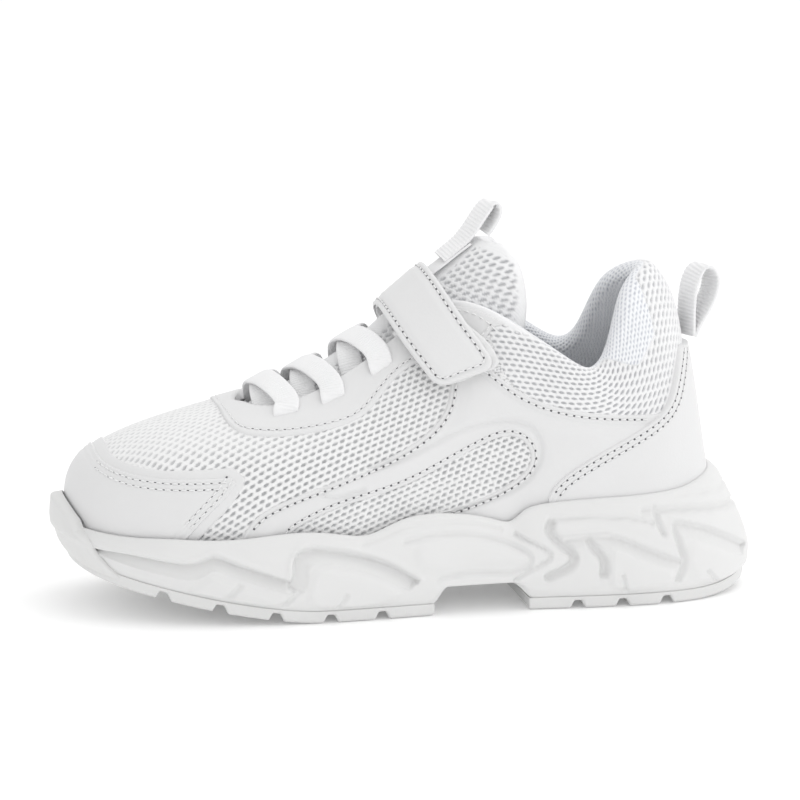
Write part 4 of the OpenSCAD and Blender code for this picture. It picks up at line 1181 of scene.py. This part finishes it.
def build_midsole():
    n = 1180
    u = np.arange(n) / n * N
    x = loop_at(OUTLINE, u)[:, 0]
    z_rim = rim_height(x)
    cup0 = skin_ring(u, z_rim)
    cup0 = cup0 + CUP_OFF * outward(cup0)
    heel = 2.5 * smooth(loop_at(RIBS, u)[:, 0, 0], 88, 108)
    rim = cup0 + (1.8 + heel)[:, None] * outward(cup0)
    rim[:, 2] -= 0.4 + heel
    edge, low, mid = plan_ring(u, -2.6, OUTSOLE_T + 0.1), plan_ring(u, -0.9, 6.5), plan_ring(u, 0, 10.5)
    edge[:, 2] += arch(edge[:, 0])
    low[:, 2] += 0.8 * arch(low[:, 0])
    high = mix(mid, rim, 0.5) + 1.2 * outward(mid)
    j = np.linspace(0, 4, 60)
    wall_rows = open_at(open_ctrl([edge, low, mid, high, rim]), j)      # (60, n, 3)
    du = np.roll(wall_rows, -1, 1) - np.roll(wall_rows, 1, 1)
    dv = np.gradient(wall_rows, axis=0)
    normal = unit(np.cross(du, dv))
    fade = smooth(j, 0.25, 0.9) * (1 - smooth(j, 3.75, 4))
    relief = side_relief(wall_rows.reshape(-1, 3)).reshape(60, n) * fade[:, None]
    side_facing = smooth(np.abs(normal[..., 1]), 0.15, 0.5)
    relief = relief * mix(0.5 + 0.5 * smooth(wall_rows[..., 0], 80, 100), 1.0, side_facing)
    wall_rows = wall_rows + normal * relief[..., None]
    rim = wall_rows[-1]
    bow = [mix(rim, cup0, k) + np.array([0, 0, 0.55 * math.sin(math.pi * k)]) for k in (0.25, 0.5, 0.75)]
    down = []
    for k in (0.12, 0.3, 0.6):
        q = skin_ring(u, mix(z_rim, loop_at(BED, u) + 3, k))
        down.append(q + CUP_OFF * outward(q))
    bed = down[-1].copy()
    bed[:, 2] = loop_at(BED, u)
    rows = np.concatenate([wall_rows, bow, [cup0], down, [bed]])
    m = len(rows)
    faces = ring_quads(m, n).tolist()
    for base, flip in ((0, True), ((m - 1) * n, False)):
        for k in range(n // 2):
            a, b = base + k, base + (k + 1)
            c, d = base + (n - k - 1) % n, base + (n - k) % n
            f = [a, b, c] if k == 0 else [a, b, d] if b == c else [a, b, c, d]
            faces.append(f[::-1] if flip else f)
    make("midsole", rows.reshape(-1, 3), faces, "shoe", EVA, crease=0, replaces=("midsole",), slot="eva_white")


def tread(name, x0, x1, grooves):
    """Ground rubber from x0 to x1, with cross grooves given by their x at the two sides."""
    ring = plan_ring(np.arange(0, N, 0.1), -1.9, 0)[:, :2]

    def at(y, x, h):
        return np.stack([x, y, ground(x) + OUTSOLE_T - h], 1)

    def cut(p, y, x):
        return np.minimum.reduce([inside(p[:, :2], ring), p[:, 0] - x0, x1 - p[:, 0]])

    def lugs(p, d, y, x):
        deep = np.zeros(len(x))
        for gx0, gx1 in grooves:
            across = (y + 42) / 84
            zig = 3.0 * np.abs(((across * 3) % 1) - 0.5) * smooth(d, 2, 8)
            dist = np.abs(x - mix(gx0, gx1, across) - zig)
            deep = np.maximum(deep, GROOVE_DEPTH * (1 - smooth(dist, 1.0, 2.8)))
        centre = np.abs(y - 2 * np.sin(x / 14))
        deep = np.maximum(deep, 1.8 * (1 - smooth(centre, 0.8, 2.0)) * smooth(d, 8, 12))
        sipe = np.abs(((x + 0.35 * np.abs(y)) / 5.2) % 1 - 0.5) * 5.2
        deep = np.maximum(deep, 0.7 * (1 - smooth(sipe, 0.3, 0.7)) * smooth(d, 3.5, 5))
        return OUTSOLE_T - deep - 1.3 * (1 - rounded(d, 1.6))

    sheet(name, np.arange(-47, 48, 0.62), np.arange(x0 - 1, x1 + 1, 0.62), at, "shoe", RUBBER, cut, lugs, -0.3,
          replaces=(name,), slot="rubber_white", crease=35)


def build_outsole():
    tread("outsole_forefoot", -116, 4, [[-87, -84], [-68.5, -66], [-50, -49], [-31.7, -33], [-14, -18]])
    tread("outsole_heel", 37, 121, [[54, 52], [69.5, 68], [85, 86]])
    # Bumper: the rubber turned up round the toe
    u = np.arange(-3, 3.0001, 0.02)
    x = loop_at(OUTLINE, u)[:, 0]
    side = np.abs(u)
    z_rim = rim_height(x)
    top_z = z_rim + 0.6 + 8.2 * np.maximum(0, 1 - (side / 0.78) ** 2)

    def ring(q, off):
        return q + off * right_of(np.gradient(q, axis=0))

    def plan(d, z):
        q = ring(np.concatenate([loop_at(OUTLINE, u), np.zeros((len(u), 1))], 1), d)
        q[:, 2] = z + ground(q[:, 0])
        return q
    rim_q = ring(skin_ring(u, z_rim), CUP_OFF + 1.8)
    mid = plan(0, 10.5)
    base = [plan(-6, 1.6), plan(-3.6, 3.0), plan(-0.9, 6.5), mid, ring(mix(mid, rim_q, 0.5), 1.2),
            ring(skin_ring(u, top_z), CUP_OFF)]
    ctrl = open_ctrl(base)

    def place(s, j, h):
        col = s / 0.02 + 150
        i = np.clip(np.floor(col).astype(int), 0, len(u) - 2)
        f = (col - i)[:, None]
        both = open_at(ctrl, j)
        k = np.arange(len(s))
        p = mix(both[k, i], both[k, i + 1], f)
        return p + right_of(both[k, i + 1] - both[k, i]) * np.asarray(h, float)[:, None]

    back_edge = curve([[-112.6, 34], [-110, 27.5], [-106, 21.5], [-100, 15.5], [-92, 11], [-86, 7]])
    edge = np.concatenate([[[-150, 0], [-150, 60], [-112.6, 60]], back_edge, [[-86, 0]]])

    def cut(p, s, j):
        return np.minimum(inside(xz(p), edge), (5.0001 - j) * 12)

    def thick(p, d, s, j):
        full = np.interp(j, [0, 1, 2, 3, 4, 5], [1.6, 2.2, 2.3, 2.3, 2.4, 3.6])
        return 0.2 + full * rounded(d, 1.6)

    sheet("toe_bumper", u, np.linspace(0, 5, 120), place, "shoe", RUBBER, cut, thick, 0.1,
          slot="rubber_white", crease=50)


def build_inside():
    ring = skin_ring(np.arange(0, N, 0.1), 24)
    ring = (ring - 4.2 * outward(ring))[:, :2]
    floor_x = [[-112, 22.4], [-56, 18], [-28, 18], [2, 20], [28, 22], [62, 24], [110, 25]]

    def at(x, y, h):
        bed = np.interp(x, *np.array(floor_x).T)
        return np.stack([x, y, bed + h], 1)

    def cut(p, x, y):
        return inside(p[:, :2], ring)

    def top(p, d, x, y):
        return 3.2 + 2.6 * (1 - smooth(d, 0, 14)) ** 2 - 0.2 * holes(x, y, (1.8, 1.6), 0.0)

    # Perforations, sunk into the insole and drawn as painted shade.
    sheet("insole", np.arange(-112, 112, 1.0), np.arange(-42, 43, 1.0), at, "shoe", INSOLE, cut, top, 0.0,
          lambda p, d, x, y: holes(x, y, (1.8, 1.6), 0.0), replaces=("insole",), slot="insole_foam")
    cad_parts["strobel_board"].data.materials.clear()
    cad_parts["strobel_board"].data.materials.append(BOARD)


build_vamp()
build_overlays()
build_collar()
build_stitches()
build_tongue()
build_laces()
build_loops()
build_strap()
build_midsole()
build_outsole()
build_inside()
